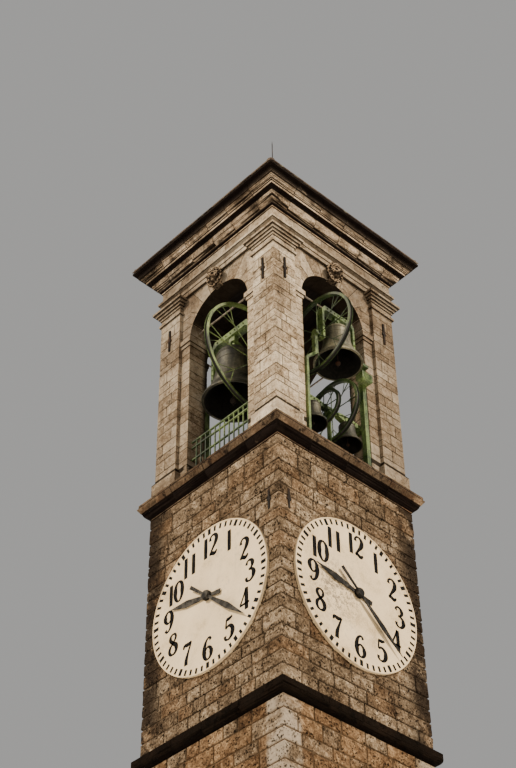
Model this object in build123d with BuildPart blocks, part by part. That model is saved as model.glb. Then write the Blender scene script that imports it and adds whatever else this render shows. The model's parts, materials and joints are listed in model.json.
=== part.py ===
from build123d import *
import os
from math import cos, radians, sin

os.makedirs("parts", exist_ok=True)

# Bell tower with a clock stage and an open belfry, on a square plan.
# Millimetres, +Z up, origin on the ground at the centre of the plan.
# The clock faces look along -Y and +X.

# Shaft
shaft_half = 1700.0
shaft_wall = 600.0
slab_thick = 200.0
base_projection = 130.0
base_height = 900.0
base_weathering = 90.0
lower_height = 15130.0
string_height = 255.0
string_projection = 122.0
door_width = 900.0
door_height = 2100.0
door_thick = 60.0
door_set_back = 260.0
door_gap = 8.0

# Heights of the stages, each measured from the one below
stage_height = 4974.0
sill_height = 415.0
sill_projection = 204.0
floor_thick = 250.0
plinth_height = 422.0
pier_rise = 3791.0
arch_band = 350.0
architrave_height = 302.0
frieze_height = 288.0
cornice_height = 669.0
cornice_projection = 472.0
roof_rise = 1231.0
roof_flat = 60.0
rod_length = 3050.0
rod_radius = 14.0
ceiling_thick = 200.0

# Belfry plan and trim
pilaster_set_back = 22.0
pilaster_projection = 78.0
pilaster_width = 583.0
belfry_wall = 425.0
opening_width = 1700.0
plinth_projection = 46.0
capital_height = 400.0
capital_projection = 140.0
impost_height = 204.0
impost_projection = 50.0
taenia_projection = 68.0
taenia_height = 62.0
keystone_width = 300.0
keystone_height = 410.0
keystone_projection = 90.0
head_width = 380.0
head_height = 340.0
head_lift = 180.0
head_projection = 210.0

# Tie rods and their anchors
tie_radius = 18.0
tie_over_springing = 230.0
anchor_height = 560.0
anchor_width = 45.0
anchor_thick = 30.0
clock_anchor_across = 1480.0
clock_anchor_height = 420.0
clock_anchor_level = 3630.0

# Clock
dial_radius = 1450.0
dial_level = 2373.0
dial_thick = 60.0
side_dial_across = 45.0
side_dial_drop = 20.0
arbor_radius = 26.0
arbor_gap = 0.6
hand_thick = 14.0
hand_gap = 22.0
hub_radius = 95.0
hub_rise = 30.0
minute_length = 1300.0
minute_tail = 540.0
hour_length = 1000.0
hour_tail = 330.0
hand_width = 140.0
minute_turn = 132.0
hour_turn = 281.0

# Bells, hung from low axles and sized by the width of the openings that they ring through
a_mouth_radius = 0.365 * opening_width
a_mouth_drop = 0.36 * opening_width
a_bell_height = 0.759 * opening_width
a_wheel_radius = 0.776 * opening_width
a_wheel_offset = 0.39 * opening_width
a_yoke_rise = 0.329 * opening_width
a_across = -0.09 * opening_width
a_inset = 121.0
a_axle_fall = 1240.0
a_post_clear = 161.0
b_mouth_radius = 0.285 * opening_width
b_mouth_drop = 0.27 * opening_width
b_bell_height = 0.53 * opening_width
b_wheel_radius = 0.538 * opening_width
b_wheel_offset = -0.31 * opening_width
b_yoke_rise = 0.235 * opening_width
b_along = 0.03 * opening_width
b_outset = 18.0
b_axle_fall = 930.0
c_mouth_radius = 0.16 * opening_width
c_mouth_drop = 0.347 * opening_width
c_bell_height = 0.294 * opening_width
c_wheel_radius = 0.241 * opening_width
c_wheel_offset = 0.1865 * opening_width
c_along = -0.2765 * opening_width
d_mouth_radius = 0.1675 * opening_width
d_mouth_drop = 0.353 * opening_width
d_bell_height = 0.3 * opening_width
d_wheel_radius = 0.412 * opening_width
d_wheel_offset = -0.225 * opening_width
d_along = 0.255 * opening_width
small_inset = 206.0
small_axle_rise = 1311.0
small_yoke_rise = 150.0

# Axles, bearings, wheels and clappers
pin_radius = 32.0
pin_gap = 0.5
pin_end = 6.0
bearing_wide = 60.0
bearing_half = 90.0
bearing_gap = 12.0
seat_thick = 30.0
arm_share = 0.86
yoke_plate = 16.0
clapper_gap = 0.3
rim_depth = 60.0
rim_wide = 60.0
groove = 28.0
spoke_radius = 11.0
spokes = 8

# Bell frame, motor and railing
post_size = 110.0
near_post = 55.0
near_post_deep = 80.0
far_post = 95.0
far_post_deep = 110.0
far_post_inset = 25.0
far_post_back = 18.0
mid_post = 40.0
post_gap = 5.0
crank_fall = 430.0
crank_rise = 270.0
motor_wide = 0.165 * opening_width
motor_deep = 190.0
motor_body = 210.0
motor_chamfer = 35.0
motor_drop = 260.0
rail_set_back = 120.0
rail_height = 1090.0
rail_bar = 22.0
rail_deep = 36.0
rail_count = 12
second_rail_fall = 146.0
third_rail_fall = 442.0

# Levels and planes that follow from the sizes above
shaft_inner = shaft_half - shaft_wall
string_top = slab_thick + lower_height
cornice_bottom = string_top + stage_height
sill_top = cornice_bottom + sill_height
springing = sill_top + pier_rise
opening_half = opening_width / 2
wall_top = springing + opening_half + arch_band
architrave_top = wall_top + architrave_height
frieze_top = architrave_top + frieze_height
roof_edge = frieze_top + cornice_height
roof_apex = roof_edge + roof_rise
pilaster_half = shaft_half - pilaster_set_back
pilaster_inner = pilaster_half - pilaster_width
belfry_half = pilaster_half - pilaster_projection
belfry_inner = belfry_half - belfry_wall
taenia_half = pilaster_half + taenia_projection
eaves_half = pilaster_half + cornice_projection
tie_level = springing + tie_over_springing
tie_across = (pilaster_inner + pilaster_half) / 2


def keep(built, name):
    built.part.label = name
    export_step(built.part, f"parts/{name}.step")


# Ground slab: the flat underside is the seat of the tower.
with BuildPart() as ground_slab:
    with BuildSketch(Plane.XY):
        Rectangle(2 * shaft_half, 2 * shaft_half)
    extrude(amount=slab_thick)
keep(ground_slab, "ground_slab")

# Lower shaft: two full walls, a back wall between them, and a front wall
# split beside and over the doorway.
wall_middle = shaft_half - shaft_wall / 2
with BuildPart() as lower_walls_side:
    with BuildSketch(Plane.XY.offset(slab_thick)):
        with GridLocations(2 * wall_middle, 0, 2, 1):
            Rectangle(shaft_wall, 2 * shaft_half)
    extrude(amount=lower_height)
keep(lower_walls_side, "lower_walls_side")

with BuildPart() as lower_wall_back:
    with BuildSketch(Plane.XY.offset(slab_thick)):
        with Locations((0, wall_middle)):
            Rectangle(2 * shaft_inner, shaft_wall)
    extrude(amount=lower_height)
keep(lower_wall_back, "lower_wall_back")

jamb_width = shaft_inner - door_width / 2
with BuildPart() as lower_wall_jambs:
    with BuildSketch(Plane.XY.offset(slab_thick)):
        with Locations((0, -wall_middle)):
            with GridLocations(door_width + jamb_width, 0, 2, 1):
                Rectangle(jamb_width, shaft_wall)
    extrude(amount=lower_height)
keep(lower_wall_jambs, "lower_wall_jambs")

with BuildPart() as lower_wall_over_door:
    with BuildSketch(Plane.XY.offset(slab_thick + door_height)):
        with Locations((0, -wall_middle)):
            Rectangle(door_width, shaft_wall)
    extrude(amount=lower_height - door_height)
keep(lower_wall_over_door, "lower_wall_over_door")

# Plank door, closed, seated on the slab and set back in the doorway.
with BuildPart() as door_leaf:
    with BuildSketch(Plane.XY.offset(slab_thick)):
        with Locations((0, door_set_back - shaft_half)):
            Rectangle(door_width - 2 * door_gap, door_thick)
    extrude(amount=door_height - door_gap)
keep(door_leaf, "door_leaf")

# Foot of the walls: a battered course that stops at the door jambs.
with BuildPart() as base_course:
    with BuildSketch(Plane.XY):
        Rectangle(2 * (shaft_half + base_projection), 2 * (shaft_half + base_projection))
        Rectangle(2 * shaft_half, 2 * shaft_half, mode=Mode.SUBTRACT)
    extrude(amount=base_height)
    top_rim = base_course.faces().sort_by(Axis.Z)[-1].outer_wire().edges()
    chamfer(top_rim, base_weathering)
    with BuildSketch(Plane.XY.offset(slab_thick)):
        with Locations((0, -shaft_half - base_projection / 2)):
            Rectangle(door_width, base_projection)
    extrude(amount=base_height, mode=Mode.SUBTRACT)
keep(base_course, "base_course")

# String course under the clock stage: fillet, ovolo and weathered top.
with BuildPart() as string_course:
    with BuildLine(Plane.XY.offset(string_top - string_height)) as string_path:
        Polyline(
            (shaft_half, 0), (shaft_half, shaft_half), (-shaft_half, shaft_half),
            (-shaft_half, -shaft_half), (shaft_half, -shaft_half), close=True
        )
    with BuildSketch(Plane.XZ):
        with BuildLine():
            Polyline(
                (shaft_half + string_projection, string_top - 0.55 * string_height),
                (shaft_half + string_projection, string_top - 0.15 * string_height),
                (shaft_half, string_top), (shaft_half, string_top - string_height),
                (shaft_half + 0.25 * string_projection, string_top - string_height)
            )
            ThreePointArc(
                (shaft_half + 0.25 * string_projection, string_top - string_height),
                (shaft_half + 0.78 * string_projection, string_top - 0.85 * string_height),
                (shaft_half + string_projection, string_top - 0.55 * string_height)
            )
        make_face()
    sweep(path=string_path.line, transition=Transition.RIGHT)
keep(string_course, "string_course")

# Clock stage: two full walls and two between them.
clock_height = stage_height + sill_height
with BuildPart() as clock_walls_side:
    with BuildSketch(Plane.XY.offset(string_top)):
        with GridLocations(2 * wall_middle, 0, 2, 1):
            Rectangle(shaft_wall, 2 * shaft_half)
    extrude(amount=clock_height)
keep(clock_walls_side, "clock_walls_side")

with BuildPart() as clock_walls_front:
    with BuildSketch(Plane.XY.offset(string_top)):
        with GridLocations(0, 2 * wall_middle, 1, 2):
            Rectangle(2 * shaft_inner, shaft_wall)
    extrude(amount=clock_height)
keep(clock_walls_front, "clock_walls_front")

# Sill cornice round the head of the clock stage: an ovolo under a broad face,
# and a slab with a weathered top.
with BuildPart() as sill_cornice:
    with BuildLine(Plane.XY.offset(cornice_bottom)) as sill_path:
        Polyline(
            (shaft_half, 0), (shaft_half, shaft_half), (-shaft_half, shaft_half),
            (-shaft_half, -shaft_half), (shaft_half, -shaft_half), close=True
        )
    with BuildSketch(Plane.XZ):
        with BuildLine():
            ThreePointArc(
                (shaft_half + 0.10 * sill_projection, cornice_bottom + 0.07 * sill_height),
                (shaft_half + 0.46 * sill_projection, cornice_bottom + 0.20 * sill_height),
                (shaft_half + 0.64 * sill_projection, cornice_bottom + 0.42 * sill_height)
            )
            Polyline(
                (shaft_half + 0.64 * sill_projection, cornice_bottom + 0.42 * sill_height),
                (shaft_half + 0.72 * sill_projection, cornice_bottom + 0.42 * sill_height),
                (shaft_half + sill_projection, cornice_bottom + 0.63 * sill_height),
                (shaft_half + sill_projection, cornice_bottom + 0.67 * sill_height),
                (shaft_half + 0.90 * sill_projection, cornice_bottom + 0.70 * sill_height),
                (shaft_half + 0.90 * sill_projection, cornice_bottom + 0.88 * sill_height),
                (shaft_half, sill_top), (shaft_half, cornice_bottom),
                (shaft_half + 0.10 * sill_projection, cornice_bottom),
                (shaft_half + 0.10 * sill_projection, cornice_bottom + 0.07 * sill_height)
            )
        make_face()
    sweep(path=sill_path.line, transition=Transition.RIGHT)
keep(sill_cornice, "sill_cornice")

# Belfry floor between the walls.
with BuildPart() as belfry_floor:
    with BuildSketch(Plane.XY.offset(sill_top - floor_thick)):
        Rectangle(2 * shaft_inner, 2 * shaft_inner)
    extrude(amount=floor_thick)
keep(belfry_floor, "belfry_floor")

# Corner piers: an angle of wall at each corner with a pilaster on both faces.
with BuildPart() as corner_piers:
    with BuildSketch(Plane.XY.offset(sill_top)):
        with BuildLine():
            Polyline(
                (opening_half, belfry_inner), (opening_half, belfry_half),
                (pilaster_inner, belfry_half), (pilaster_inner, pilaster_half),
                (pilaster_half, pilaster_half), (pilaster_half, pilaster_inner),
                (belfry_half, pilaster_inner), (belfry_half, opening_half),
                (belfry_inner, opening_half), (belfry_inner, belfry_inner),
                close=True
            )
        make_face()
        mirror(about=Plane.XZ)
        mirror(about=Plane.YZ)
    extrude(amount=wall_top - sill_top)
keep(corner_piers, "corner_piers")

# Arched walls between the piers, above the springing, one on each side.
with BuildPart() as arch_walls:
    for face in (Plane.XZ, Plane.YZ):
        with BuildSketch(face.offset(belfry_inner)):
            with Locations((0, (springing + wall_top) / 2)):
                Rectangle(opening_width, wall_top - springing)
            with Locations((0, springing)):
                Circle(opening_half, mode=Mode.SUBTRACT)
        extrude(amount=belfry_wall)
    mirror(about=Plane.XZ)
    mirror(about=Plane.YZ)
keep(arch_walls, "arch_walls")


def wrap_pilasters(level, reach):
    """Angles that wrap the two faces of each pier corner and stand out by reach."""
    with BuildSketch(Plane.XY.offset(level)) as angles:
        with BuildLine():
            Polyline(
                (pilaster_inner - reach, belfry_half),
                (pilaster_inner - reach, pilaster_half + reach),
                (pilaster_half + reach, pilaster_half + reach),
                (pilaster_half + reach, pilaster_inner - reach),
                (belfry_half, pilaster_inner - reach), (belfry_half, pilaster_inner),
                (pilaster_half, pilaster_inner), (pilaster_half, pilaster_half),
                (pilaster_inner, pilaster_half), (pilaster_inner, belfry_half), close=True
            )
        make_face()
        mirror(about=Plane.XZ)
        mirror(about=Plane.YZ)
    return angles.sketch


# Plinths of the pilasters.
with BuildPart() as pilaster_plinths:
    extrude(wrap_pilasters(sill_top, plinth_projection), amount=plinth_height)
keep(pilaster_plinths, "pilaster_plinths")

# Capitals: an astragal under a plain neck, then steps out to the abacus.
with BuildPart() as capitals:
    for fall, share, rise in (
        (1.0, 0.26, 0.15), (0.55, 0.16, 0.14), (0.41, 0.40, 0.14), (0.27, 0.68, 0.14), (0.13, 1.0, 0.13)
    ):
        level = wall_top - fall * capital_height
        extrude(wrap_pilasters(level, share * capital_projection), amount=rise * capital_height)
keep(capitals, "capitals")

# Imposts: a slab over a narrower band, across the jamb face and the reveal.
with BuildPart() as imposts:
    for fall, share, rise in ((1.0, 0.45, 0.42), (0.58, 1.0, 0.58)):
        reach = share * impost_projection
        with BuildSketch(Plane.XY.offset(springing - fall * impost_height)):
            with BuildLine():
                Polyline(
                    (opening_half, belfry_inner), (opening_half - reach, belfry_inner),
                    (opening_half - reach, belfry_half + reach),
                    (pilaster_inner, belfry_half + reach),
                    (pilaster_inner, belfry_half), (opening_half, belfry_half), close=True
                )
            make_face()
            with BuildLine():
                Polyline(
                    (belfry_inner, opening_half), (belfry_inner, opening_half - reach),
                    (belfry_half + reach, opening_half - reach),
                    (belfry_half + reach, pilaster_inner),
                    (belfry_half, pilaster_inner), (belfry_half, opening_half), close=True
                )
            make_face()
            mirror(about=Plane.XZ)
            mirror(about=Plane.YZ)
        extrude(amount=rise * impost_height)
keep(imposts, "imposts")

# Keystones: tapered blocks that carry the rounded mass of a carved head.
head_middle = springing + opening_half + head_lift
with BuildPart() as keystones:
    for face in (Plane.XZ, Plane.YZ):
        with BuildSketch(face.offset(belfry_half)):
            with Locations((0, wall_top - keystone_height / 2)):
                Trapezoid(keystone_width, keystone_height, 96, rotation=180)
        extrude(amount=keystone_projection)
        with BuildSketch(face.offset(belfry_half)):
            with BuildLine():
                Polyline(
                    (0, head_middle + 0.50 * head_height),
                    (0.30 * head_width, head_middle + 0.42 * head_height),
                    (0.50 * head_width, head_middle + 0.14 * head_height),
                    (0.46 * head_width, head_middle - 0.16 * head_height),
                    (0.28 * head_width, head_middle - 0.42 * head_height),
                    (0, head_middle - 0.50 * head_height), close=True
                )
            make_face()
            mirror(about=Plane.YZ)
        extrude(amount=head_projection, taper=28)
    mirror(about=Plane.XZ)
    mirror(about=Plane.YZ)
keep(keystones, "keystones")

# Architrave: two fasciae under a taenia.
with BuildPart() as architrave:
    with BuildLine(Plane.XY.offset(wall_top)) as architrave_path:
        Polyline(
            (pilaster_half, 0), (pilaster_half, pilaster_half),
            (-pilaster_half, pilaster_half), (-pilaster_half, -pilaster_half),
            (pilaster_half, -pilaster_half), close=True
        )
    with BuildSketch(Plane.XZ):
        with BuildLine():
            Polyline(
                (belfry_inner, wall_top), (pilaster_half - 0.25 * taenia_projection, wall_top),
                (pilaster_half - 0.25 * taenia_projection, wall_top + 0.32 * architrave_height),
                (pilaster_half, wall_top + 0.36 * architrave_height),
                (pilaster_half, architrave_top - 1.7 * taenia_height),
                (pilaster_half + 0.70 * taenia_projection, architrave_top - taenia_height),
                (taenia_half, architrave_top - 0.85 * taenia_height),
                (taenia_half, architrave_top), (belfry_inner, architrave_top), close=True
            )
        make_face()
    sweep(path=architrave_path.line, transition=Transition.RIGHT)
keep(architrave, "architrave")

with BuildPart() as frieze:
    with BuildSketch(Plane.XY.offset(architrave_top)):
        Rectangle(2 * pilaster_half, 2 * pilaster_half)
        Rectangle(2 * belfry_inner, 2 * belfry_inner, mode=Mode.SUBTRACT)
    extrude(amount=frieze_height)
keep(frieze, "frieze")


def moulding(out, up):
    """Point of the crowning cornice at shares of its projection and height."""
    return pilaster_half + out * cornice_projection, frieze_top + up * cornice_height


# Crowning cornice: fillet, ovolo, corona with its drip, cyma, gutter face and eaves slab.
with BuildPart() as cornice:
    with BuildLine(Plane.XY.offset(frieze_top)) as cornice_path:
        Polyline(
            (pilaster_half, 0), (pilaster_half, pilaster_half),
            (-pilaster_half, pilaster_half), (-pilaster_half, -pilaster_half),
            (pilaster_half, -pilaster_half), close=True
        )
    with BuildSketch(Plane.XZ):
        with BuildLine():
            Polyline(
                (belfry_inner, roof_edge), (belfry_inner, frieze_top), moulding(0.04, 0),
                moulding(0.04, 0.06), moulding(0.11, 0.08), moulding(0.12, 0.14)
            )
            ThreePointArc(moulding(0.12, 0.14), moulding(0.30, 0.25), moulding(0.36, 0.42))
            Polyline(
                moulding(0.36, 0.42), moulding(0.375, 0.42), moulding(0.375, 0.49),
                moulding(0.555, 0.49), moulding(0.555, 0.58), moulding(0.60, 0.59),
                moulding(0.60, 0.62)
            )
            ThreePointArc(moulding(0.60, 0.62), moulding(0.66, 0.645), moulding(0.70, 0.685))
            ThreePointArc(moulding(0.70, 0.685), moulding(0.74, 0.725), moulding(0.80, 0.74))
            Polyline(
                moulding(0.80, 0.74), moulding(0.815, 0.74), moulding(0.83, 0.93),
                moulding(1, 0.93), moulding(1, 1), (belfry_inner, roof_edge)
            )
        make_face()
    sweep(path=cornice_path.line, transition=Transition.RIGHT)
keep(cornice, "cornice")

# Ceiling of the belfry, inside the frieze.
with BuildPart() as belfry_ceiling:
    with BuildSketch(Plane.XY.offset(frieze_top - ceiling_thick)):
        Rectangle(2 * belfry_inner, 2 * belfry_inner)
    extrude(amount=ceiling_thick)
keep(belfry_ceiling, "belfry_ceiling")

# Low hipped roof, the crossing of two gables, with a small flat for the rod.
with BuildPart() as roof:
    for face, mode in ((Plane.XZ, Mode.ADD), (Plane.YZ, Mode.INTERSECT)):
        with BuildSketch(face):
            with BuildLine():
                Polyline(
                    (-eaves_half, roof_edge), (eaves_half, roof_edge), (roof_flat, roof_apex),
                    (-roof_flat, roof_apex), close=True
                )
            make_face()
        extrude(amount=eaves_half, both=True, mode=mode)
keep(roof, "roof")

with BuildPart() as lightning_rod:
    with BuildSketch(Plane.XY.offset(roof_apex)):
        Circle(rod_radius)
    extrude(amount=rod_length)
keep(lightning_rod, "lightning_rod")

# Iron tie rods across the arches: each ends where its top meets the curve.
tie_top = tie_over_springing + tie_radius
tie_half = (opening_half**2 - tie_top**2) ** 0.5
with BuildPart() as tie_rods:
    for face in (Plane.YZ, Plane.XZ):
        with BuildSketch(face):
            with Locations((tie_across, tie_level), (-tie_across, tie_level)):
                Circle(tie_radius)
        extrude(amount=tie_half, both=True)
keep(tie_rods, "tie_rods")

# Anchors of the ties: upright bars on the pilasters, and lower ones on the clock stage
# near the corner between the clock faces.
with BuildPart() as tie_anchors:
    for face in (Plane.XZ, Plane.YZ):
        with BuildSketch(face.offset(pilaster_half)):
            with Locations((tie_across, tie_level), (-tie_across, tie_level)):
                Rectangle(anchor_width, anchor_height)
                Rectangle(2.2 * anchor_width, 1.2 * anchor_width)
        extrude(amount=anchor_thick)
    mirror(about=Plane.XZ)
    mirror(about=Plane.YZ)
    for face, side in ((Plane.XZ, 1), (Plane.YZ, -1)):
        with BuildSketch(face.offset(shaft_half)):
            with Locations((side * clock_anchor_across, string_top + clock_anchor_level)):
                Rectangle(anchor_width, clock_anchor_height)
                Rectangle(2.2 * anchor_width, 1.2 * anchor_width)
        extrude(amount=anchor_thick)
keep(tie_anchors, "tie_anchors")

# Clock faces: a plain disc on the wall, with two hands on a fixed arbor.
dial_height = string_top + dial_level
front_dial = Plane(origin=(0, -shaft_half, dial_height), x_dir=(1, 0, 0), z_dir=(0, -1, 0))
side_origin = (shaft_half, side_dial_across, dial_height - side_dial_drop)
side_dial = Plane(origin=side_origin, x_dir=(0, 1, 0), z_dir=(1, 0, 0))
hour_level = dial_thick + hand_gap
minute_level = hour_level + hand_thick + hand_gap
with BuildPart() as clock_arbors:
    for place in (front_dial, side_dial):
        with BuildSketch(place.offset(dial_thick)):
            Circle(arbor_radius)
        extrude(amount=minute_level + hand_thick / 2 - dial_thick)
keep(clock_arbors, "clock_arbors")


def hand_outline(place, level, turn, length, tail, width):
    """Leaf-shaped hand on a dial, turned clockwise, with a bored hub and a widening tail."""
    across = place.x_dir * cos(radians(turn)) - place.y_dir * sin(radians(turn))
    turned = Plane(place.origin + place.z_dir * level, x_dir=across, z_dir=place.z_dir)
    with BuildSketch(turned) as outline:
        with BuildLine():
            Polyline(
                (-0.18 * width, 0), (-0.5 * width, 0.55 * length), (0, length),
                (0.5 * width, 0.55 * length), (0.18 * width, 0), (0.32 * width, -tail),
                (-0.32 * width, -tail), close=True
            )
        make_face()
        Circle(hub_radius)
        Circle(arbor_radius + arbor_gap, mode=Mode.SUBTRACT)
    return outline.sketch


for place, name in ((front_dial, "front"), (side_dial, "side")):
    with BuildPart() as dial:
        with BuildSketch(place):
            Circle(dial_radius)
        extrude(amount=dial_thick)
    keep(dial, f"dial_{name}")

    with BuildPart() as hour_hand:
        outline = hand_outline(place, hour_level, hour_turn, hour_length, hour_tail, hand_width)
        extrude(outline, amount=hand_thick)
    keep(hour_hand, f"hour_hand_{name}")

    with BuildPart() as minute_hand:
        outline = hand_outline(
            place, minute_level, minute_turn, minute_length, minute_tail, 0.8 * hand_width
        )
        extrude(outline, amount=hand_thick)
        with BuildSketch(place.offset(minute_level + hand_thick)):
            Circle(hub_radius)
        extrude(amount=hub_rise, taper=35)
    keep(minute_hand, f"minute_hand_{name}")


def yoke_arm(mouth_radius):
    """Width of a yoke's arm."""
    return 0.08 * mouth_radius + 12


def arm_reach(mouth_radius):
    """Distance along the axle from a bell's middle to the bearing beyond a yoke's arm."""
    return arm_share * mouth_radius + yoke_arm(mouth_radius) / 2 + bearing_gap


def bearing_faces(mouth_radius, wheel_offset, spare):
    """Inner faces of the two bearings, measured along the axle from its middle."""
    arm_end = arm_reach(mouth_radius) + spare
    wheel_end = abs(wheel_offset) + rim_wide / 2 + bearing_gap
    if wheel_offset > 0:
        return -arm_end, wheel_end
    return -wheel_end, arm_end


def hang_bell(name, swing, mouth_radius, drop, height, wheel_radius, wheel_offset, yoke_rise, spare):
    """One bell with its yoke, wheel and clapper, hung on the axle of the plane swing."""
    upright = Plane(swing.origin, x_dir=swing.x_dir, z_dir=-swing.y_dir)
    across = Plane(swing.origin, x_dir=swing.y_dir, z_dir=swing.x_dir)
    plumb = Axis(swing.origin, (0, 0, 1))
    crown = height - drop
    with BuildPart() as bell:
        with BuildSketch(upright):
            with BuildLine():
                Line((mouth_radius, -drop), (0.97 * mouth_radius, -drop + 0.05 * height))
                Spline(
                    (0.97 * mouth_radius, -drop + 0.05 * height),
                    (0.72 * mouth_radius, -drop + 0.28 * height),
                    (0.60 * mouth_radius, -drop + 0.55 * height),
                    (0.56 * mouth_radius, -drop + 0.86 * height)
                )
                Polyline(
                    (0.56 * mouth_radius, -drop + 0.86 * height),
                    (0.51 * mouth_radius, -drop + 0.96 * height), (0.38 * mouth_radius, crown),
                    (0, crown), (0, -drop + 0.92 * height),
                    (0.42 * mouth_radius, -drop + 0.92 * height),
                    (0.48 * mouth_radius, -drop + 0.80 * height),
                    (0.57 * mouth_radius, -drop + 0.40 * height),
                    (0.83 * mouth_radius, -drop + 0.05 * height), (0.90 * mouth_radius, -drop),
                    (mouth_radius, -drop)
                )
            make_face()
        revolve(axis=plumb)
    keep(bell, f"bell_{name}")

    # Yoke: two cheeks with their webs; a tall one has arms down to the axle.
    arm_at = arm_share * mouth_radius
    arm = yoke_arm(mouth_radius)
    cheek_at = 0.11 * mouth_radius + 20
    beam_top = crown + yoke_rise
    near_face, far_face = bearing_faces(mouth_radius, wheel_offset, spare)
    with BuildPart() as headstock:
        if crown > 2 * pin_radius:
            beam_deep = 0.22 * mouth_radius
            boss = 1.8 * pin_radius
            with BuildSketch(upright.offset(-cheek_at)):
                with BuildLine():
                    Polyline(
                        (-arm_at - arm / 2, -boss), (-arm_at - arm / 2, beam_top - beam_deep),
                        (-arm_at + arm, beam_top), (arm_at - arm, beam_top),
                        (arm_at + arm / 2, beam_top - beam_deep), (arm_at + arm / 2, -boss),
                        (arm_at - arm / 2, -boss), (arm_at - arm / 2, beam_top - 2 * beam_deep)
                    )
                    ThreePointArc(
                        (arm_at - arm / 2, beam_top - 2 * beam_deep),
                        (arm_at - 0.9 * arm, beam_top - 1.3 * beam_deep),
                        (arm_at - arm / 2 - beam_deep, beam_top - beam_deep)
                    )
                    Line(
                        (arm_at - arm / 2 - beam_deep, beam_top - beam_deep),
                        (-arm_at + arm / 2 + beam_deep, beam_top - beam_deep)
                    )
                    ThreePointArc(
                        (-arm_at + arm / 2 + beam_deep, beam_top - beam_deep),
                        (-arm_at + 0.9 * arm, beam_top - 1.3 * beam_deep),
                        (-arm_at + arm / 2, beam_top - 2 * beam_deep)
                    )
                    Polyline(
                        (-arm_at + arm / 2, beam_top - 2 * beam_deep), (-arm_at + arm / 2, -boss),
                        (-arm_at - arm / 2, -boss)
                    )
                make_face()
            extrude(amount=2 * cheek_at)
            # Channel between the cheeks, open upward along the beam and outward on the arms.
            with BuildSketch(upright.offset(yoke_plate - cheek_at)):
                with Locations((0, beam_top - beam_deep / 2 + yoke_plate)):
                    Rectangle(2 * arm_at - 2 * arm, beam_deep)
                for side in (-1, 1):
                    with Locations((side * (arm_at + yoke_plate), (beam_top - 2 * beam_deep + boss) / 2)):
                        Rectangle(arm, beam_top - 2 * beam_deep - boss)
            extrude(amount=2 * (cheek_at - yoke_plate), mode=Mode.SUBTRACT)
            # Hanger block from the bell's crown to the beam, with two strap hoops.
            with BuildSketch(upright.offset(-0.6 * cheek_at)):
                with Locations((0, (crown + beam_top - beam_deep) / 2)):
                    Rectangle(0.26 * mouth_radius, beam_top - beam_deep - crown)
            extrude(amount=1.2 * cheek_at)
            with BuildSketch(Plane.XY.offset(swing.origin.Z + crown)):
                with Locations((swing.origin.X, swing.origin.Y)):
                    Circle(0.36 * mouth_radius)
            extrude(amount=0.05 * mouth_radius)
            for reach in (-0.22, 0.17):
                with BuildSketch(across.offset(reach * mouth_radius)):
                    with Locations((0, crown + 0.03 * mouth_radius)):
                        Circle(0.33 * mouth_radius)
                        Circle(0.26 * mouth_radius, mode=Mode.SUBTRACT)
                    with Locations((0, crown - 0.5 * mouth_radius)):
                        Rectangle(mouth_radius, mouth_radius, mode=Mode.SUBTRACT)
                extrude(amount=0.05 * mouth_radius)
        else:
            with BuildSketch(upright.offset(-cheek_at)):
                with BuildLine():
                    Polyline(
                        (-arm_at - arm / 2, -1.4 * pin_radius), (-arm_at - arm / 2, 1.4 * pin_radius),
                        (-0.5 * arm_at, beam_top), (0.5 * arm_at, beam_top),
                        (arm_at + arm / 2, 1.4 * pin_radius), (arm_at + arm / 2, -1.4 * pin_radius),
                        (0.45 * arm_at, crown), (-0.45 * arm_at, crown), close=True
                    )
                make_face()
            extrude(amount=2 * cheek_at)
        for start, end in (
            (near_face - bearing_wide + pin_end, -arm_at), (arm_at, far_face + bearing_wide - pin_end)
        ):
            with BuildSketch(across.offset(start)):
                Circle(pin_radius)
            extrude(amount=end - start)
    keep(headstock, f"headstock_{name}")

    # Wheel: a grooved rim on thin spokes with a hub round the axle.
    outer = wheel_radius
    bed = wheel_radius - groove
    inner = wheel_radius - rim_depth
    with BuildPart() as wheel:
        with BuildSketch(upright):
            with BuildLine():
                Polyline(
                    (wheel_offset - rim_wide / 2, inner), (wheel_offset - rim_wide / 2, outer),
                    (wheel_offset - rim_wide / 4, outer), (wheel_offset - rim_wide / 4, bed),
                    (wheel_offset + rim_wide / 4, bed), (wheel_offset + rim_wide / 4, outer),
                    (wheel_offset + rim_wide / 2, outer), (wheel_offset + rim_wide / 2, inner),
                    close=True
                )
            make_face()
        revolve(axis=Axis(swing.origin, swing.x_dir))
        with BuildSketch(across.offset(wheel_offset - spoke_radius)):
            with PolarLocations((inner + pin_radius) / 2, spokes):
                Rectangle(inner - pin_radius + groove, 2 * spoke_radius)
            Circle(2.6 * pin_radius)
            Circle(pin_radius + pin_gap, mode=Mode.SUBTRACT)
        extrude(amount=2 * spoke_radius)
    keep(wheel, f"wheel_{name}")

    # Clapper: an eight-sided rod on a barrel under the crown, with a ball at the lip.
    ball = 0.115 * mouth_radius
    head = 0.05 * mouth_radius + 6
    hook = -drop + 0.92 * height - head - clapper_gap
    tip = -drop - 0.08 * height
    with BuildPart() as clapper:
        with BuildSketch(across):
            with Locations((0, hook)):
                Circle(head)
        extrude(amount=0.8 * head, both=True)
        middle = Plane((swing.origin.X, swing.origin.Y, swing.origin.Z + 0.4 * ball - drop))
        for rise in (0.8 * ball, -0.8 * ball):
            with BuildSketch(middle):
                RegularPolygon(ball, 8)
            extrude(amount=rise, taper=30)
        with BuildSketch(Plane((swing.origin.X, swing.origin.Y, swing.origin.Z + tip))):
            RegularPolygon(0.45 * head, 8)
        extrude(amount=hook - tip)
    keep(clapper, f"clapper_{name}")
    print(name, "clapper pivot height", swing.origin.Z + hook, "bearings", near_face, far_face)


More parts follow.
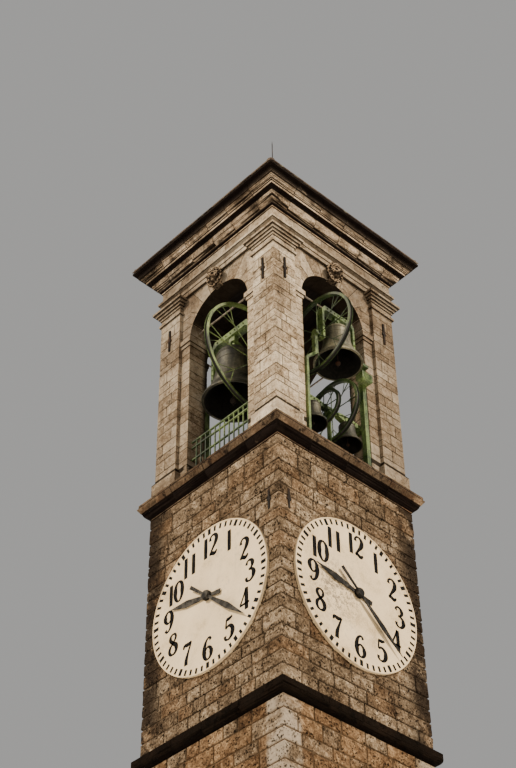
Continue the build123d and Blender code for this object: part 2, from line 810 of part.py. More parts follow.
a_pivot = Vector(a_across, a_inset - belfry_inner, springing - a_axle_fall)
b_pivot = Vector(belfry_half + b_outset, b_along, springing - b_axle_fall)
c_pivot = Vector(belfry_half - small_inset, c_along, sill_top + small_axle_rise)
d_pivot = Vector(belfry_half - small_inset, d_along, sill_top + small_axle_rise)
# The left post of bell A stands clear of the side wall, which sets the spare length of its axle.
a_post_middle = belfry_inner - a_post_clear - post_size / 2
a_spare = a_post_middle + a_across - arm_reach(a_mouth_radius) - bearing_wide / 2
hang_bell(
    "a", Plane(a_pivot, x_dir=(1, 0, 0), z_dir=(0, 0, 1)), a_mouth_radius, a_mouth_drop,
    a_bell_height, a_wheel_radius, a_wheel_offset, a_yoke_rise, a_spare
)
hang_bell(
    "b", Plane(b_pivot, x_dir=(0, 1, 0), z_dir=(0, 0, 1)), b_mouth_radius, b_mouth_drop,
    b_bell_height, b_wheel_radius, b_wheel_offset, b_yoke_rise, 0
)
hang_bell(
    "c", Plane(c_pivot, x_dir=(0, 1, 0), z_dir=(0, 0, 1)), c_mouth_radius, c_mouth_drop,
    c_bell_height, c_wheel_radius, c_wheel_offset, small_yoke_rise, 0
)
hang_bell(
    "d", Plane(d_pivot, x_dir=(0, 1, 0), z_dir=(0, 0, 1)), d_mouth_radius, d_mouth_drop,
    d_bell_height, d_wheel_radius, d_wheel_offset, small_yoke_rise, 0
)

# Faces of the bearings along X for bell A and along Y for the others.
a_faces = bearing_faces(a_mouth_radius, a_wheel_offset, a_spare)
b_faces = bearing_faces(b_mouth_radius, b_wheel_offset, 0)
c_faces = bearing_faces(c_mouth_radius, c_wheel_offset, 0)
d_faces = bearing_faces(d_mouth_radius, d_wheel_offset, 0)
a_left = a_pivot.X + a_faces[0] - bearing_wide
a_right = a_pivot.X + a_faces[1]
b_near = b_pivot.Y + b_faces[0] - bearing_wide
b_far = b_pivot.Y + b_faces[1]
c_near = c_pivot.Y + c_faces[0] - bearing_wide
c_far = c_pivot.Y + c_faces[1]
d_near = d_pivot.Y + d_faces[0] - bearing_wide
d_far = d_pivot.Y + d_faces[1]
a_seat = a_pivot.Z - bearing_half - seat_thick
b_seat = b_pivot.Z - bearing_half - seat_thick
small_seat = c_pivot.Z - bearing_half - seat_thick

# Steel frame of bell A: two posts on the belfry floor, each with a seat plate.
a_post_left = a_left + bearing_wide / 2
a_post_right = a_right + post_size / 2
with BuildPart() as frame_posts_front:
    with BuildSketch(Plane.XY.offset(sill_top)):
        with Locations((a_post_left, a_pivot.Y), (a_post_right, a_pivot.Y)):
            Rectangle(post_size, post_size)
    extrude(amount=a_seat - sill_top)
    with BuildSketch(Plane.XY.offset(a_seat)):
        with Locations((a_post_left, a_pivot.Y), (a_post_right, a_pivot.Y)):
            Rectangle(post_size, 2 * bearing_half)
    extrude(amount=seat_thick)
keep(frame_posts_front, "frame_posts_front")

# Steel frame in the side opening: a cranked post, a straight post with an arm,
# brackets for the small bells, and a slim post between the small bells.
near_edge = post_gap - opening_half
far_edge = opening_half - far_post_inset
crank_low = b_seat - crank_fall - crank_rise
crank_high = b_seat - crank_fall
near_inner = b_near + bearing_wide
near_outer = b_near - near_post / 2
with BuildPart() as frame_post_near:
    with BuildSketch(Plane.YZ.offset(b_pivot.X - near_post_deep / 2)):
        with BuildLine():
            Polyline(
                (near_edge, sill_top), (near_edge + near_post, sill_top),
                (near_edge + near_post, crank_low), (near_inner, crank_high),
                (near_inner, b_seat + seat_thick), (near_outer, b_seat + seat_thick),
                (near_outer, crank_high), (near_edge, crank_low), close=True
            )
        make_face()
    extrude(amount=near_post_deep)
    with BuildSketch(Plane.YZ.offset(c_pivot.X - bearing_half)):
        with Locations(((c_near + bearing_wide + near_edge) / 2, small_seat + seat_thick / 2)):
            Rectangle(c_near + bearing_wide - near_edge, seat_thick)
    extrude(amount=b_pivot.X - near_post_deep / 2 - c_pivot.X + bearing_half)
keep(frame_post_near, "frame_post_near")

far_front = b_pivot.X - far_post_back
far_back = far_front - far_post_deep
arm_front = b_pivot.X + bearing_half
with BuildPart() as frame_post_far:
    with BuildSketch(Plane.XY.offset(sill_top)):
        with Locations(((far_front + far_back) / 2, far_edge - far_post / 2)):
            Rectangle(far_post_deep, far_post)
    extrude(amount=b_seat - seat_thick - sill_top)
    with BuildSketch(Plane.XY.offset(b_seat - seat_thick)):
        with Locations(((far_back + arm_front) / 2, (b_far + far_edge) / 2)):
            Rectangle(arm_front - far_back, far_edge - b_far)
    extrude(amount=2 * seat_thick)
    with BuildSketch(Plane.YZ.offset(d_pivot.X - bearing_half)):
        with Locations(((far_edge + d_far) / 2, small_seat + seat_thick / 2)):
            Rectangle(far_edge - d_far, seat_thick)
    extrude(amount=far_back - d_pivot.X + bearing_half)
keep(frame_post_far, "frame_post_far")

mid_middle = (c_far + d_near + bearing_wide) / 2
with BuildPart() as frame_post_middle:
    with BuildSketch(Plane.XY.offset(sill_top)):
        with Locations((c_pivot.X, mid_middle)):
            Rectangle(2 * mid_post, mid_post)
    extrude(amount=small_seat - sill_top)
    with BuildSketch(Plane.XY.offset(small_seat)):
        with Locations((c_pivot.X, mid_middle)):
            Rectangle(2 * bearing_half, d_near + bearing_wide - c_far)
    extrude(amount=seat_thick)
keep(frame_post_middle, "frame_post_middle")


def bearing_outline(place):
    """Pillow block: a broad foot, a chamfered body and the bore of the axle."""
    with BuildSketch(place) as block:
        with BuildLine():
            Polyline(
                (-bearing_half, -bearing_half), (-bearing_half, -0.6 * bearing_half),
                (-0.7 * bearing_half, -0.6 * bearing_half), (-0.7 * bearing_half, 0.3 * bearing_half),
                (-0.3 * bearing_half, 0.7 * bearing_half), (0.3 * bearing_half, 0.7 * bearing_half),
                (0.7 * bearing_half, 0.3 * bearing_half), (0.7 * bearing_half, -0.6 * bearing_half),
                (bearing_half, -0.6 * bearing_half), (bearing_half, -bearing_half), close=True
            )
        make_face()
        Circle(pin_radius + pin_gap, mode=Mode.SUBTRACT)
    return block.sketch


# Bearing blocks of all the axles, seated on the frame.
with BuildPart() as bearings:
    for start in (a_left, a_right):
        place = Plane((start, a_pivot.Y, a_pivot.Z), x_dir=(0, 1, 0), z_dir=(1, 0, 0))
        extrude(bearing_outline(place), amount=bearing_wide)
    for pivot, start, end in (
        (b_pivot, b_near, b_near + bearing_wide), (b_pivot, b_far, b_far + bearing_wide),
        (c_pivot, c_near, c_near + bearing_wide), (c_pivot, c_far, d_near + bearing_wide),
        (d_pivot, d_far, d_far + bearing_wide)
    ):
        place = Plane((pivot.X, end, pivot.Z), x_dir=(1, 0, 0), z_dir=(0, -1, 0))
        extrude(bearing_outline(place), amount=end - start)
keep(bearings, "bearings")

# Motor housing on the front of the far post, below its arm, with chamfered lower edges.
motor_base = b_seat - seat_thick - motor_drop - motor_body
with BuildPart() as motor_box:
    with BuildSketch(Plane.XY.offset(motor_base)):
        with Locations((far_front + motor_deep / 2, far_edge - motor_wide / 2)):
            Rectangle(motor_deep, motor_wide)
    extrude(amount=motor_body)
    lower_rim = motor_box.faces().sort_by(Axis.Z)[0].edges()
    chamfer(lower_rim, motor_chamfer)
keep(motor_box, "motor_box")

# Railing across the front opening: square bars, a top rail and two more rails.
rail_plane = belfry_half - rail_set_back
with BuildPart() as railing:
    with BuildSketch(Plane.XY.offset(sill_top)):
        with Locations((0, -rail_plane)):
            with GridLocations(opening_width / (rail_count + 1), 0, rail_count, 1):
                Rectangle(rail_bar, rail_bar)
    extrude(amount=rail_height - rail_bar / 2)
    for fall in (0, second_rail_fall, third_rail_fall):
        with BuildSketch(Plane.YZ.offset(-opening_half)):
            with Locations((-rail_plane, sill_top + rail_height - fall)):
                Rectangle(rail_deep, rail_bar + 4)
        extrude(amount=opening_width)
keep(railing, "railing")
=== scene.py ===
import json
import math
import random
from collections import defaultdict, namedtuple

import bmesh
import bpy
from bpy import context, ops
from mathutils import Matrix, Vector

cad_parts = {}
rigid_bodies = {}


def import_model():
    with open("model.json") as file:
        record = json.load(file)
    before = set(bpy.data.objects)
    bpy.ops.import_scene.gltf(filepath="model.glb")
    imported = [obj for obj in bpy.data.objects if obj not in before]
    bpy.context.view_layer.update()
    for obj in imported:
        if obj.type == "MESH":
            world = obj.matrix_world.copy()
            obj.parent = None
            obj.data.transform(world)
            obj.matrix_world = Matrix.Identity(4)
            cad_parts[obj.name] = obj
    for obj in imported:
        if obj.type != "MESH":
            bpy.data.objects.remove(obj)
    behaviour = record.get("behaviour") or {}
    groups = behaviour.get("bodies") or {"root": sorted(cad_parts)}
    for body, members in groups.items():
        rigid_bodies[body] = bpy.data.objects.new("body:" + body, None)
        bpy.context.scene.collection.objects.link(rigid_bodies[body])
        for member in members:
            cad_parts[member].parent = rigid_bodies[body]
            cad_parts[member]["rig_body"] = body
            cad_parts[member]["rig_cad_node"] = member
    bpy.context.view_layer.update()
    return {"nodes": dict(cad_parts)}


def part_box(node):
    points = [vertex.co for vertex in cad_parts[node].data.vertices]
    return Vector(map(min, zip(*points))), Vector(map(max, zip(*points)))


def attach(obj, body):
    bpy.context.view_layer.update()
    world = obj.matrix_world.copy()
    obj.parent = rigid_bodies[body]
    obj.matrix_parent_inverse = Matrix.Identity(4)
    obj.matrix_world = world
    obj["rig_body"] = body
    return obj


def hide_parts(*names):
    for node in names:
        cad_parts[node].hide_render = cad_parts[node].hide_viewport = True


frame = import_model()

# Floor and studio: a pale, level, lightly polished screed under the tower and a plain pale
# surround. A firm key light favours the right-hand face, and two soft fills open the others.
def let_go():
    """Leaves nothing selected and nothing in edit mode."""
    if context.mode != "OBJECT":
        ops.object.mode_set(mode="OBJECT")
    ops.object.select_all(action="DESELECT")


def added(kind, location=(0, 0, 0), **settings):
    """A new primitive, the only thing selected."""
    let_go()
    getattr(ops.mesh, f"primitive_{kind}_add")(location=location, **settings)
    return context.object


def linked(name, data):
    """A new object in the scene, made of a light's or a curve's data."""
    made = bpy.data.objects.new(name, data)
    context.scene.collection.objects.link(made)
    return made


def rgba(colour):
    """A colour as a socket takes it, or the wire that brings one."""
    return colour if isinstance(colour, Wire) else (*colour, 1.0)


class Wire:
    """A shader socket that takes part in sums and adds the nodes that it meets."""

    def __init__(self, tree, socket):
        self.tree = tree
        self.socket = socket

    def node(self, kind, settings=None, inputs=None, output=0):
        made = self.tree.nodes.new(kind)
        for key, value in (settings or {}).items():
            if key == "stops":
                ends = made.color_ramp.elements
                ends[0].position, ends[0].color = value[0]
                ends[1].position, ends[1].color = value[-1]
                for place, colour in value[1:-1]:
                    ends.new(place).color = colour
            else:
                setattr(made, key, value)
        for key, value in (inputs or {}).items():
            if isinstance(value, Wire):
                self.tree.links.new(value.socket, made.inputs[key])
            else:
                made.inputs[key].default_value = value
        return Wire(self.tree, made.outputs[output])

    def sum_of(self, operation, first, second):
        return self.node("ShaderNodeMath", {"operation": operation}, {0: first, 1: second})

    def __add__(self, other):
        return self.sum_of("ADD", self, other)

    __radd__ = __add__

    def __sub__(self, other):
        return self.sum_of("SUBTRACT", self, other)

    def __rsub__(self, other):
        return self.sum_of("SUBTRACT", other, self)

    def __mul__(self, other):
        return self.sum_of("MULTIPLY", self, other)

    __rmul__ = __mul__

    def size(self):
        """This value without its sign."""
        return self.sum_of("ABSOLUTE", self, 0.0)

    def read(self, name, output="Fac"):
        """What was written on the mesh under a name."""
        return self.node("ShaderNodeAttribute", {"attribute_name": name}, None, output)

    def axis(self, name):
        return self.node("ShaderNodeSeparateXYZ", None, {0: self}, "XYZ".index(name))

    def axes(self):
        return [self.axis(name) for name in "XYZ"]

    def underside(self, low, high):
        """0 where the surface faces down by less than low, and 1 from high on."""
        normal = self.node("ShaderNodeNewGeometry", None, None, "Normal")
        return (0.0 - normal.axis("Z")).rise(low, high)

    def rise(self, low, high):
        """0 below low and 1 above high, with a soft start and end."""
        return self.node(
            "ShaderNodeMapRange", {"interpolation_type": "SMOOTHSTEP"}, {0: self, 1: low, 2: high}
        )

    def blend(self, first, second):
        """The first colour where this is 0 and the second where it is 1."""
        return self.node(
            "ShaderNodeMix", {"data_type": "RGBA"}, {0: self, 6: rgba(first), 7: rgba(second)}, 2
        )

    def noise(self, scale, detail=4.0, roughness=0.55, stretch=None):
        """Fractal noise at this place, drawn out along an axis where stretch is small there."""
        place = self
        if stretch:
            place = self.node("ShaderNodeMapping", None, {"Vector": self, "Scale": stretch})
        return self.node(
            "ShaderNodeTexNoise", None,
            {"Vector": place, "Scale": scale, "Detail": detail, "Roughness": roughness}
        )

    def cells(self, scale):
        return self.node("ShaderNodeTexVoronoi", None, {"Vector": self, "Scale": scale})

    def ramp(self, *stops):
        """The colour for this value, from rows of a place on the ramp and its colour."""
        stops = [(place, rgba(colour)) for place, *colour in stops]
        return self.node("ShaderNodeValToRGB", {"stops": stops}, {"Fac": self})


def finish_named(name, rule, *terms, gloss=0.5, metal=0.0):
    """A material from a rule for a place on the object: its colour, the colours that masks lay
    over it, its roughness, its relief and how deep that is."""
    material = bpy.data.materials.new(name)
    material.use_nodes = True
    tree = material.node_tree
    tree.nodes.clear()
    place = Wire(tree, tree.nodes.new("ShaderNodeTexCoord").outputs["Object"])
    body, layers, roughness, relief, depth = rule(place, *terms)
    for mask, colour in layers:
        body = mask.blend(body, colour)
    values = {
        "Base Color": body, "Roughness": roughness, "Specular IOR Level": gloss, "Metallic": metal
    }
    if depth:
        values["Normal"] = place.node("ShaderNodeBump", None, {"Height": relief, "Distance": depth})
    surface = place.node("ShaderNodeBsdfPrincipled", None, values)
    output = tree.nodes.new("ShaderNodeOutputMaterial")
    tree.links.new(surface.socket, output.inputs["Surface"])
    return material


def coat(material, *objects):
    """Gives objects one material in place of those that they have."""
    for obj in objects:
        if not obj.material_slots:
            obj.data.materials.append(material)
        for slot in obj.material_slots:
            slot.material = material


def screed(place):
    cloud = place.noise(0.7, 3.0)
    return cloud.blend((0.7, 0.69, 0.67), (0.76, 0.75, 0.73)), (), cloud * 0.2 + 0.6, None, 0.0


floor = added("plane", (0, 0, -0.001), size=120.0)
floor.name = "floor"
ops.object.transform_apply()
coat(finish_named("screed", screed), floor)

world = bpy.data.worlds.new("studio")
context.scene.world = world
world.use_nodes = True
surround = world.node_tree.nodes["Background"].inputs
surround["Color"].default_value = (0.86, 0.85, 0.83, 1.0)
surround["Strength"].default_value = 0.44

lamp_colour = (1.0, 0.88, 0.73)
for name, aim, strength, softness in (
    ("key", (-0.78, -0.16, -0.6), 4.7, 3.5),
    ("fill_left", (0.22, 0.8, -0.56), 4.1, 10.0),
    ("fill_back", (0.3, -0.8, -0.5), 1.4, 40.0),
):
    lamp = bpy.data.lights.new(name, "SUN")
    lamp.energy, lamp.angle, lamp.color = strength, math.radians(softness), lamp_colour
    holder = linked(name, lamp)
    holder.rotation_mode = "QUATERNION"
    holder.rotation_quaternion = Vector(aim).to_track_quat("-Z", "Y")

# Camera: it stands at eye height on the ground off the near corner and looks steeply up,
# with the lens and the slight tilt of the photograph.
yaw, pitch, tilt = (math.radians(angle) for angle in (136.613, 42.452, -0.724))
ahead = Vector((math.cos(pitch) * math.cos(yaw), math.cos(pitch) * math.sin(yaw), math.sin(pitch)))
level = Vector((math.sin(yaw), -math.cos(yaw), 0))
above = level.cross(ahead)
sideways = level * math.cos(tilt) + above * math.sin(tilt)
upward = above * math.cos(tilt) - level * math.sin(tilt)
ops.object.camera_add(location=(17.2686, -16.8657, 1.597))
camera = context.object
camera.rotation_mode = "QUATERNION"
camera.rotation_quaternion = Matrix((sideways, upward, -ahead)).transposed().to_quaternion()
camera.data.sensor_width = 36.0
camera.data.lens = 76.82
camera.data.clip_end = 200.0
context.scene.camera = camera

# Rough masonry of the shaft and the clock stage: coursed blocks of pitted brown limestone,
# hewn by hand, with larger stones that turn the corners. They stand a little proud of the
# mortar, which is the face of the wall behind them, and each has a tone of its own.
def take(obj):
    """Selects one object alone and makes it the active one."""
    let_go()
    obj.select_set(True)
    context.view_layer.objects.active = obj


def edit(obj, mode="FACE"):
    take(obj)
    ops.object.mode_set(mode="EDIT")
    ops.mesh.select_mode(type=mode)


def chosen(obj, rule):
    """Selects, in edit mode, the faces that a rule picks by their centre and normal."""
    shape = bmesh.from_edit_mesh(obj.data)
    ops.mesh.select_all(action="DESELECT")
    for face in shape.faces:
        if rule(face.calc_center_median(), face.normal):
            face.select_set(True)
    shape.select_flush_mode()
    bmesh.update_edit_mesh(obj.data)


def all_chosen():
    ops.mesh.select_all(action="SELECT")


def parted(place, normal):
    """Cuts the chosen faces by a plane and parts the two sides."""
    ops.mesh.bisect(plane_co=place, plane_no=normal)
    ops.mesh.edge_split(type="EDGE")


def joints_opened(margin):
    """Takes a strip off around every block, so that each stands apart."""
    all_chosen()
    ops.mesh.inset(thickness=margin, depth=0.0)
    ops.mesh.select_all(action="INVERT")
    ops.mesh.delete(type="FACE")


def facing_out():
    all_chosen()
    ops.mesh.normals_make_consistent(inside=False)


def copy_of(obj):
    """A copy with its own mesh, the only thing selected."""
    take(obj)
    ops.object.duplicate()
    return context.object


def around(obj, lift=0.0):
    """An object and its copies on the tower's other three sides, each raised further by lift."""
    ring = [obj]
    for quarter in (1, 2, 3):
        ring.append(copy_of(obj))
        ops.transform.rotate(
            value=-quarter * math.pi / 2, orient_axis="Z", center_override=(0, 0, 0)
        )
        ops.transform.translate(value=(0, 0, quarter * lift))
        ops.object.transform_apply()
    let_go()
    return ring


def joined(name, parts):
    """One object of several, at the origin, with its place in its mesh."""
    let_go()
    for part in parts:
        part.select_set(True)
    context.view_layer.objects.active = parts[0]
    ops.object.join()
    ops.object.transform_apply()
    parts[0].name = name
    let_go()
    return parts[0]


def tones_drawn(seed):
    """A random tone for each block, drawn when the block is first met."""
    draws = random.Random(seed)
    return defaultdict(lambda: (draws.random(), draws.random(), draws.random(), 1.0))


def tone_islands(obj, seed):
    """Writes one tone for each separate block into the attribute that the stone reads."""
    owner = list(range(len(obj.data.vertices)))

    def root(index):
        while owner[index] != index:
            owner[index] = owner[owner[index]]
            index = owner[index]
        return index

    for edge in obj.data.edges:
        first, second = (root(index) for index in edge.vertices)
        owner[max(first, second)] = min(first, second)
    tones = tones_drawn(seed)
    values = [value for index in range(len(owner)) for value in tones[root(index)]]
    obj.data.color_attributes.new("tone", "FLOAT_COLOR", "POINT").data.foreach_set("color", values)


def fitted(piece, material, node=None, body="tower"):
    """Coats a piece and puts it on its body, in place of a CAD node where one is named."""
    let_go()
    coat(material, piece)
    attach(piece, body)
    if node:
        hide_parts(node)


dull = 0.04
# A near-black for pits in the rough stone, and for painted shade on undersides and in the carving's
# hollows.
soot_and_shade = (0.008, 0.005, 0.003)


def rough_stone(place):
    shade, warmth, wear = place.read("tone", "Color").axes()
    coarse = place.noise(1.9, 6.0, 0.62)
    middle = place.noise(8.5, 6.0, 0.68)
    fine = place.noise(24.0, 8.0, 0.78)
    ragged = fine * 0.3 - 0.15
    pits = 1.0 - (place.cells(24.0) + ragged).rise(0.14, 0.44)
    hollows = 1.0 - (place.cells(11.0) + ragged).rise(0.1, 0.34)
    hollows = hollows * place.noise(5.0, 3.0).rise(0.5, 0.58)
    holes = (pits * place.noise(7.0, 3.0).rise(0.43, 0.57) + hollows).rise(0.0, 1.0)
    value = shade * 0.16 + coarse * 0.7 + middle * 0.85 + fine * 1.25 - 0.98
    body = value.ramp(
        (0.2, 0.04, 0.026, 0.015), (0.4, 0.135, 0.092, 0.054),
        (0.56, 0.265, 0.19, 0.118), (0.82, 0.62, 0.48, 0.32)
    )
    earth = value.ramp(
        (0.25, 0.045, 0.02, 0.009), (0.55, 0.2, 0.105, 0.045), (0.84, 0.52, 0.32, 0.15)
    )
    x, y, z = place.axes()
    low = 1.0 - z.rise(15.0, 15.3)
    corner = place.sum_of("MINIMUM", x.size(), y.size()).rise(1.3, 1.4)
    rubble = low * (1.0 - corner)
    ochre = (warmth * 0.5 + place.noise(1.3, 4.0) * 0.7 + rubble * 0.3).rise(0.6, 0.95)
    washed = low * corner * place.noise(2.2, 5.0).rise(0.36, 0.56)
    stain = place.noise(0.62, 5.0, 0.6, (1.0, 1.0, 0.35)).rise(0.53, 0.74)
    edge = 1.0 - (x - y).size().rise(0.1, 0.85)
    edge = edge * (1.0 - low) * place.noise(1.6, 5.0, 0.65).rise(0.3, 0.5)
    return body, (
        (ochre * (rubble * 0.16 + 0.58), earth), (washed * 0.8, (0.52, 0.43, 0.32)),
        (holes * 0.92, soot_and_shade),
        ((stain * 0.55 + edge * 0.95).rise(0.0, 1.0) * 0.92, (0.018, 0.012, 0.008)),
    ), fine * 0.2 + 0.76, middle * 0.8 + fine * 0.8 - holes * 1.2 + wear * 0.1, 0.045


def mortar(place):
    sand = place.noise(48.0, 6.0, 0.7)
    body = (sand * 0.5 + place.noise(1.3, 4.0) * 0.5).ramp(
        (0.4, 0.007, 0.005, 0.003), (0.49, 0.026, 0.018, 0.011), (0.6, 0.15, 0.108, 0.068)
    )
    low = 1.0 - place.axis("Z").rise(14.9, 15.1)
    return body, ((low * 0.65, (0.11, 0.068, 0.036)),), sand * 0.1 + 0.88, sand, 0.008


shaft_half, door_half, door_top = 1.7, 0.45, 2.3


def lay_courses(name, low, high, count, length, joint, proud, seed, door=False):
    """Rings of blocks on all four sides of the square shaft, as one closed shell a block."""
    draws = random.Random(seed)
    size = (2 * shaft_half, 2 * shaft_half, high - low)
    stones = added("cube", (0, 0, (low + high) / 2), size=1.0, scale=size)
    stones.name = name
    ops.object.transform_apply()
    edit(stones)
    chosen(stones, lambda centre, normal: abs(normal.z) > 0.5)
    ops.mesh.delete(type="FACE")
    course = (high - low) / count
    levels = [low + course * (step + draws.uniform(-0.19, 0.19)) for step in range(count + 1)]
    levels[0], levels[-1] = low, high
    if door:
        lintel = min(range(len(levels)), key=lambda step: abs(levels[step] - door_top))
        levels[lintel] = door_top
    for height in levels[1:-1]:
        all_chosen()
        parted((0, 0, height), (0, 0, 1))
    for bottom, top in zip(levels, levels[1:]):
        in_door = door and bottom < door_top - 0.01
        over_door = door and abs(bottom - door_top) < 0.01
        for side in (0, 1):
            cuts = []
            place = -shaft_half + length * draws.uniform(0.55, 1.25)
            while place < shaft_half - 0.5 * length:
                cuts.append(place)
                place += length * draws.uniform(0.55, 1.6)
            if side == 0 and (in_door or over_door):
                bar = door_half + (0.3 if over_door else 0.16)
                cuts = [cut for cut in cuts if abs(cut) > bar]
                if in_door:
                    cuts += [-door_half, door_half]
            for cut in cuts:
                chosen(stones, lambda centre, normal: (
                    bottom < centre.z < top and abs(normal[side]) < 0.5
                ))
                parted((cut, cut, cut), (1 - side, side, 0))
    if door:
        chosen(stones, lambda centre, normal: (
            normal.y < -0.5 and centre.z < door_top and abs(centre.x) < door_half
        ))
        ops.mesh.delete(type="FACE")
    joints_opened(joint / 2)
    all_chosen()
    ops.mesh.inset(thickness=0.004, depth=0.7 * proud)
    ops.mesh.inset(thickness=0.01, depth=0.3 * proud)
    ops.mesh.subdivide(number_cuts=2)
    ops.transform.vertex_random(offset=0.011, uniform=0.0, normal=0.0, seed=seed)
    all_chosen()
    ops.mesh.fill_holes(sides=0)
    facing_out()
    let_go()
    return stones


limestone = finish_named("pitted limestone", rough_stone, gloss=dull)
bedding = finish_named("lime mortar", mortar, gloss=dull)
foot_low, band_low, band_tall, stage_low, stage_top = 0.9, 3.735, 2.835, 15.33, 20.304
foot = lay_courses("shaft_foot", foot_low, band_low, 10, 0.58, 0.026, 0.018, 5, door=True)
band = lay_courses("shaft_band", band_low, band_low + band_tall, 10, 0.56, 0.026, 0.018, 6)
shaft = joined("shaft_stones", [foot] + around(band, band_tall))
clock_stage = lay_courses("clock_stage_stones", stage_low, stage_top, 19, 0.5, 0.024, 0.017, 21)
for stones, seed in ((shaft, 11), (clock_stage, 23)):
    tone_islands(stones, seed)
    fitted(stones, limestone)

nodes = frame["nodes"]
coat(bedding, *(nodes[wall] for wall in (
    "lower_walls_side", "lower_wall_back", "lower_wall_jambs", "lower_wall_over_door",
    "clock_walls_side", "clock_walls_front", "ground_slab"
)))

# Dressed stonework of the belfry: piers, arches and trim of sawn pale limestone in even
# courses. Each is the solid of its course with a V joint cut wherever two blocks meet,
# slightly eased by weather, and the whole is washed grey-brown where rain runs off it.
# Painted shade darkens it below the crown, on the piers away from the near corner, on its
# undersides, inside the belfry and in a line above the plinth.
def copied_node(name, node):
    """A merged copy of a CAD node as a new piece of its own, which then stands for it."""
    piece = copy_of(nodes[node])
    ops.object.parent_clear(type="CLEAR_KEEP_TRANSFORM")
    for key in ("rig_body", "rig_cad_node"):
        del piece[key]
    piece.name = name
    edit(piece)
    all_chosen()
    ops.mesh.remove_doubles(threshold=0.00002)
    all_chosen()
    ops.mesh.dissolve_limited(angle_limit=math.radians(0.5))
    return piece


def score(piece, place, normal, width, depth, rule=lambda centre, normal: True):
    """Cuts a V joint where a plane crosses the faces that a rule picks, and notes it as 'joint'."""
    along = Vector(normal).normalized()
    for shift in (-width / 2, width / 2, 0.0):
        chosen(piece, rule)
        ops.mesh.bisect(plane_co=Vector(place) + along * shift, plane_no=along)
    ops.mesh.select_mode(type="EDGE")
    ops.transform.shrink_fatten(value=-depth)
    shape = bmesh.from_edit_mesh(piece.data)
    mark = shape.verts.layers.float.get("joint") or shape.verts.layers.float.new("joint")
    for corner in shape.verts:
        if corner.select:
            corner[mark] = 1.0
    bmesh.update_edit_mesh(piece.data)
    ops.mesh.select_mode(type="FACE")


def spread(low, high, step, draws, loose=0.12):
    """Places from low to high about a step apart, without the two ends."""
    count = max(2, round((high - low) / step))
    gap = (high - low) / count
    return [low + gap * (number + draws.uniform(-loose, loose)) for number in range(1, count)]


def tone_faces(piece, block_of, seed):
    """Gives all faces of one block the same random value, under the name 'tone'."""
    let_go()
    tones = tones_drawn(seed)
    values = []
    for face in piece.data.polygons:
        values.extend(tones[block_of(face.center, face.normal)] * len(face.vertices))
    tone = piece.data.color_attributes.new("tone", "FLOAT_COLOR", "CORNER")
    tone.data.foreach_set("color", values)


def scored(piece, reach, step, width, depth, sides=(0, 1), loose=0.12):
    """Scores a piece across X, Y or both, and gives the places."""
    cuts = spread(-reach, reach, step, draws, loose)
    for side in sides:
        for cut in cuts:
            score(piece, (cut, cut, 0), (1 - side, side, 0), width, depth)
    return cuts


def trimmed(name, node, reach, step, width, depth, seed, material):
    """A moulding scored into stones on all four sides, in place of its CAD node."""
    piece = copied_node(name, node)
    cuts = scored(piece, reach, step, width, depth)
    tone_faces(piece, lambda centre, normal: tuple(
        sum(cut < centre[side] for cut in cuts) for side in (0, 1)
    ), seed)
    fitted(piece, material, node)


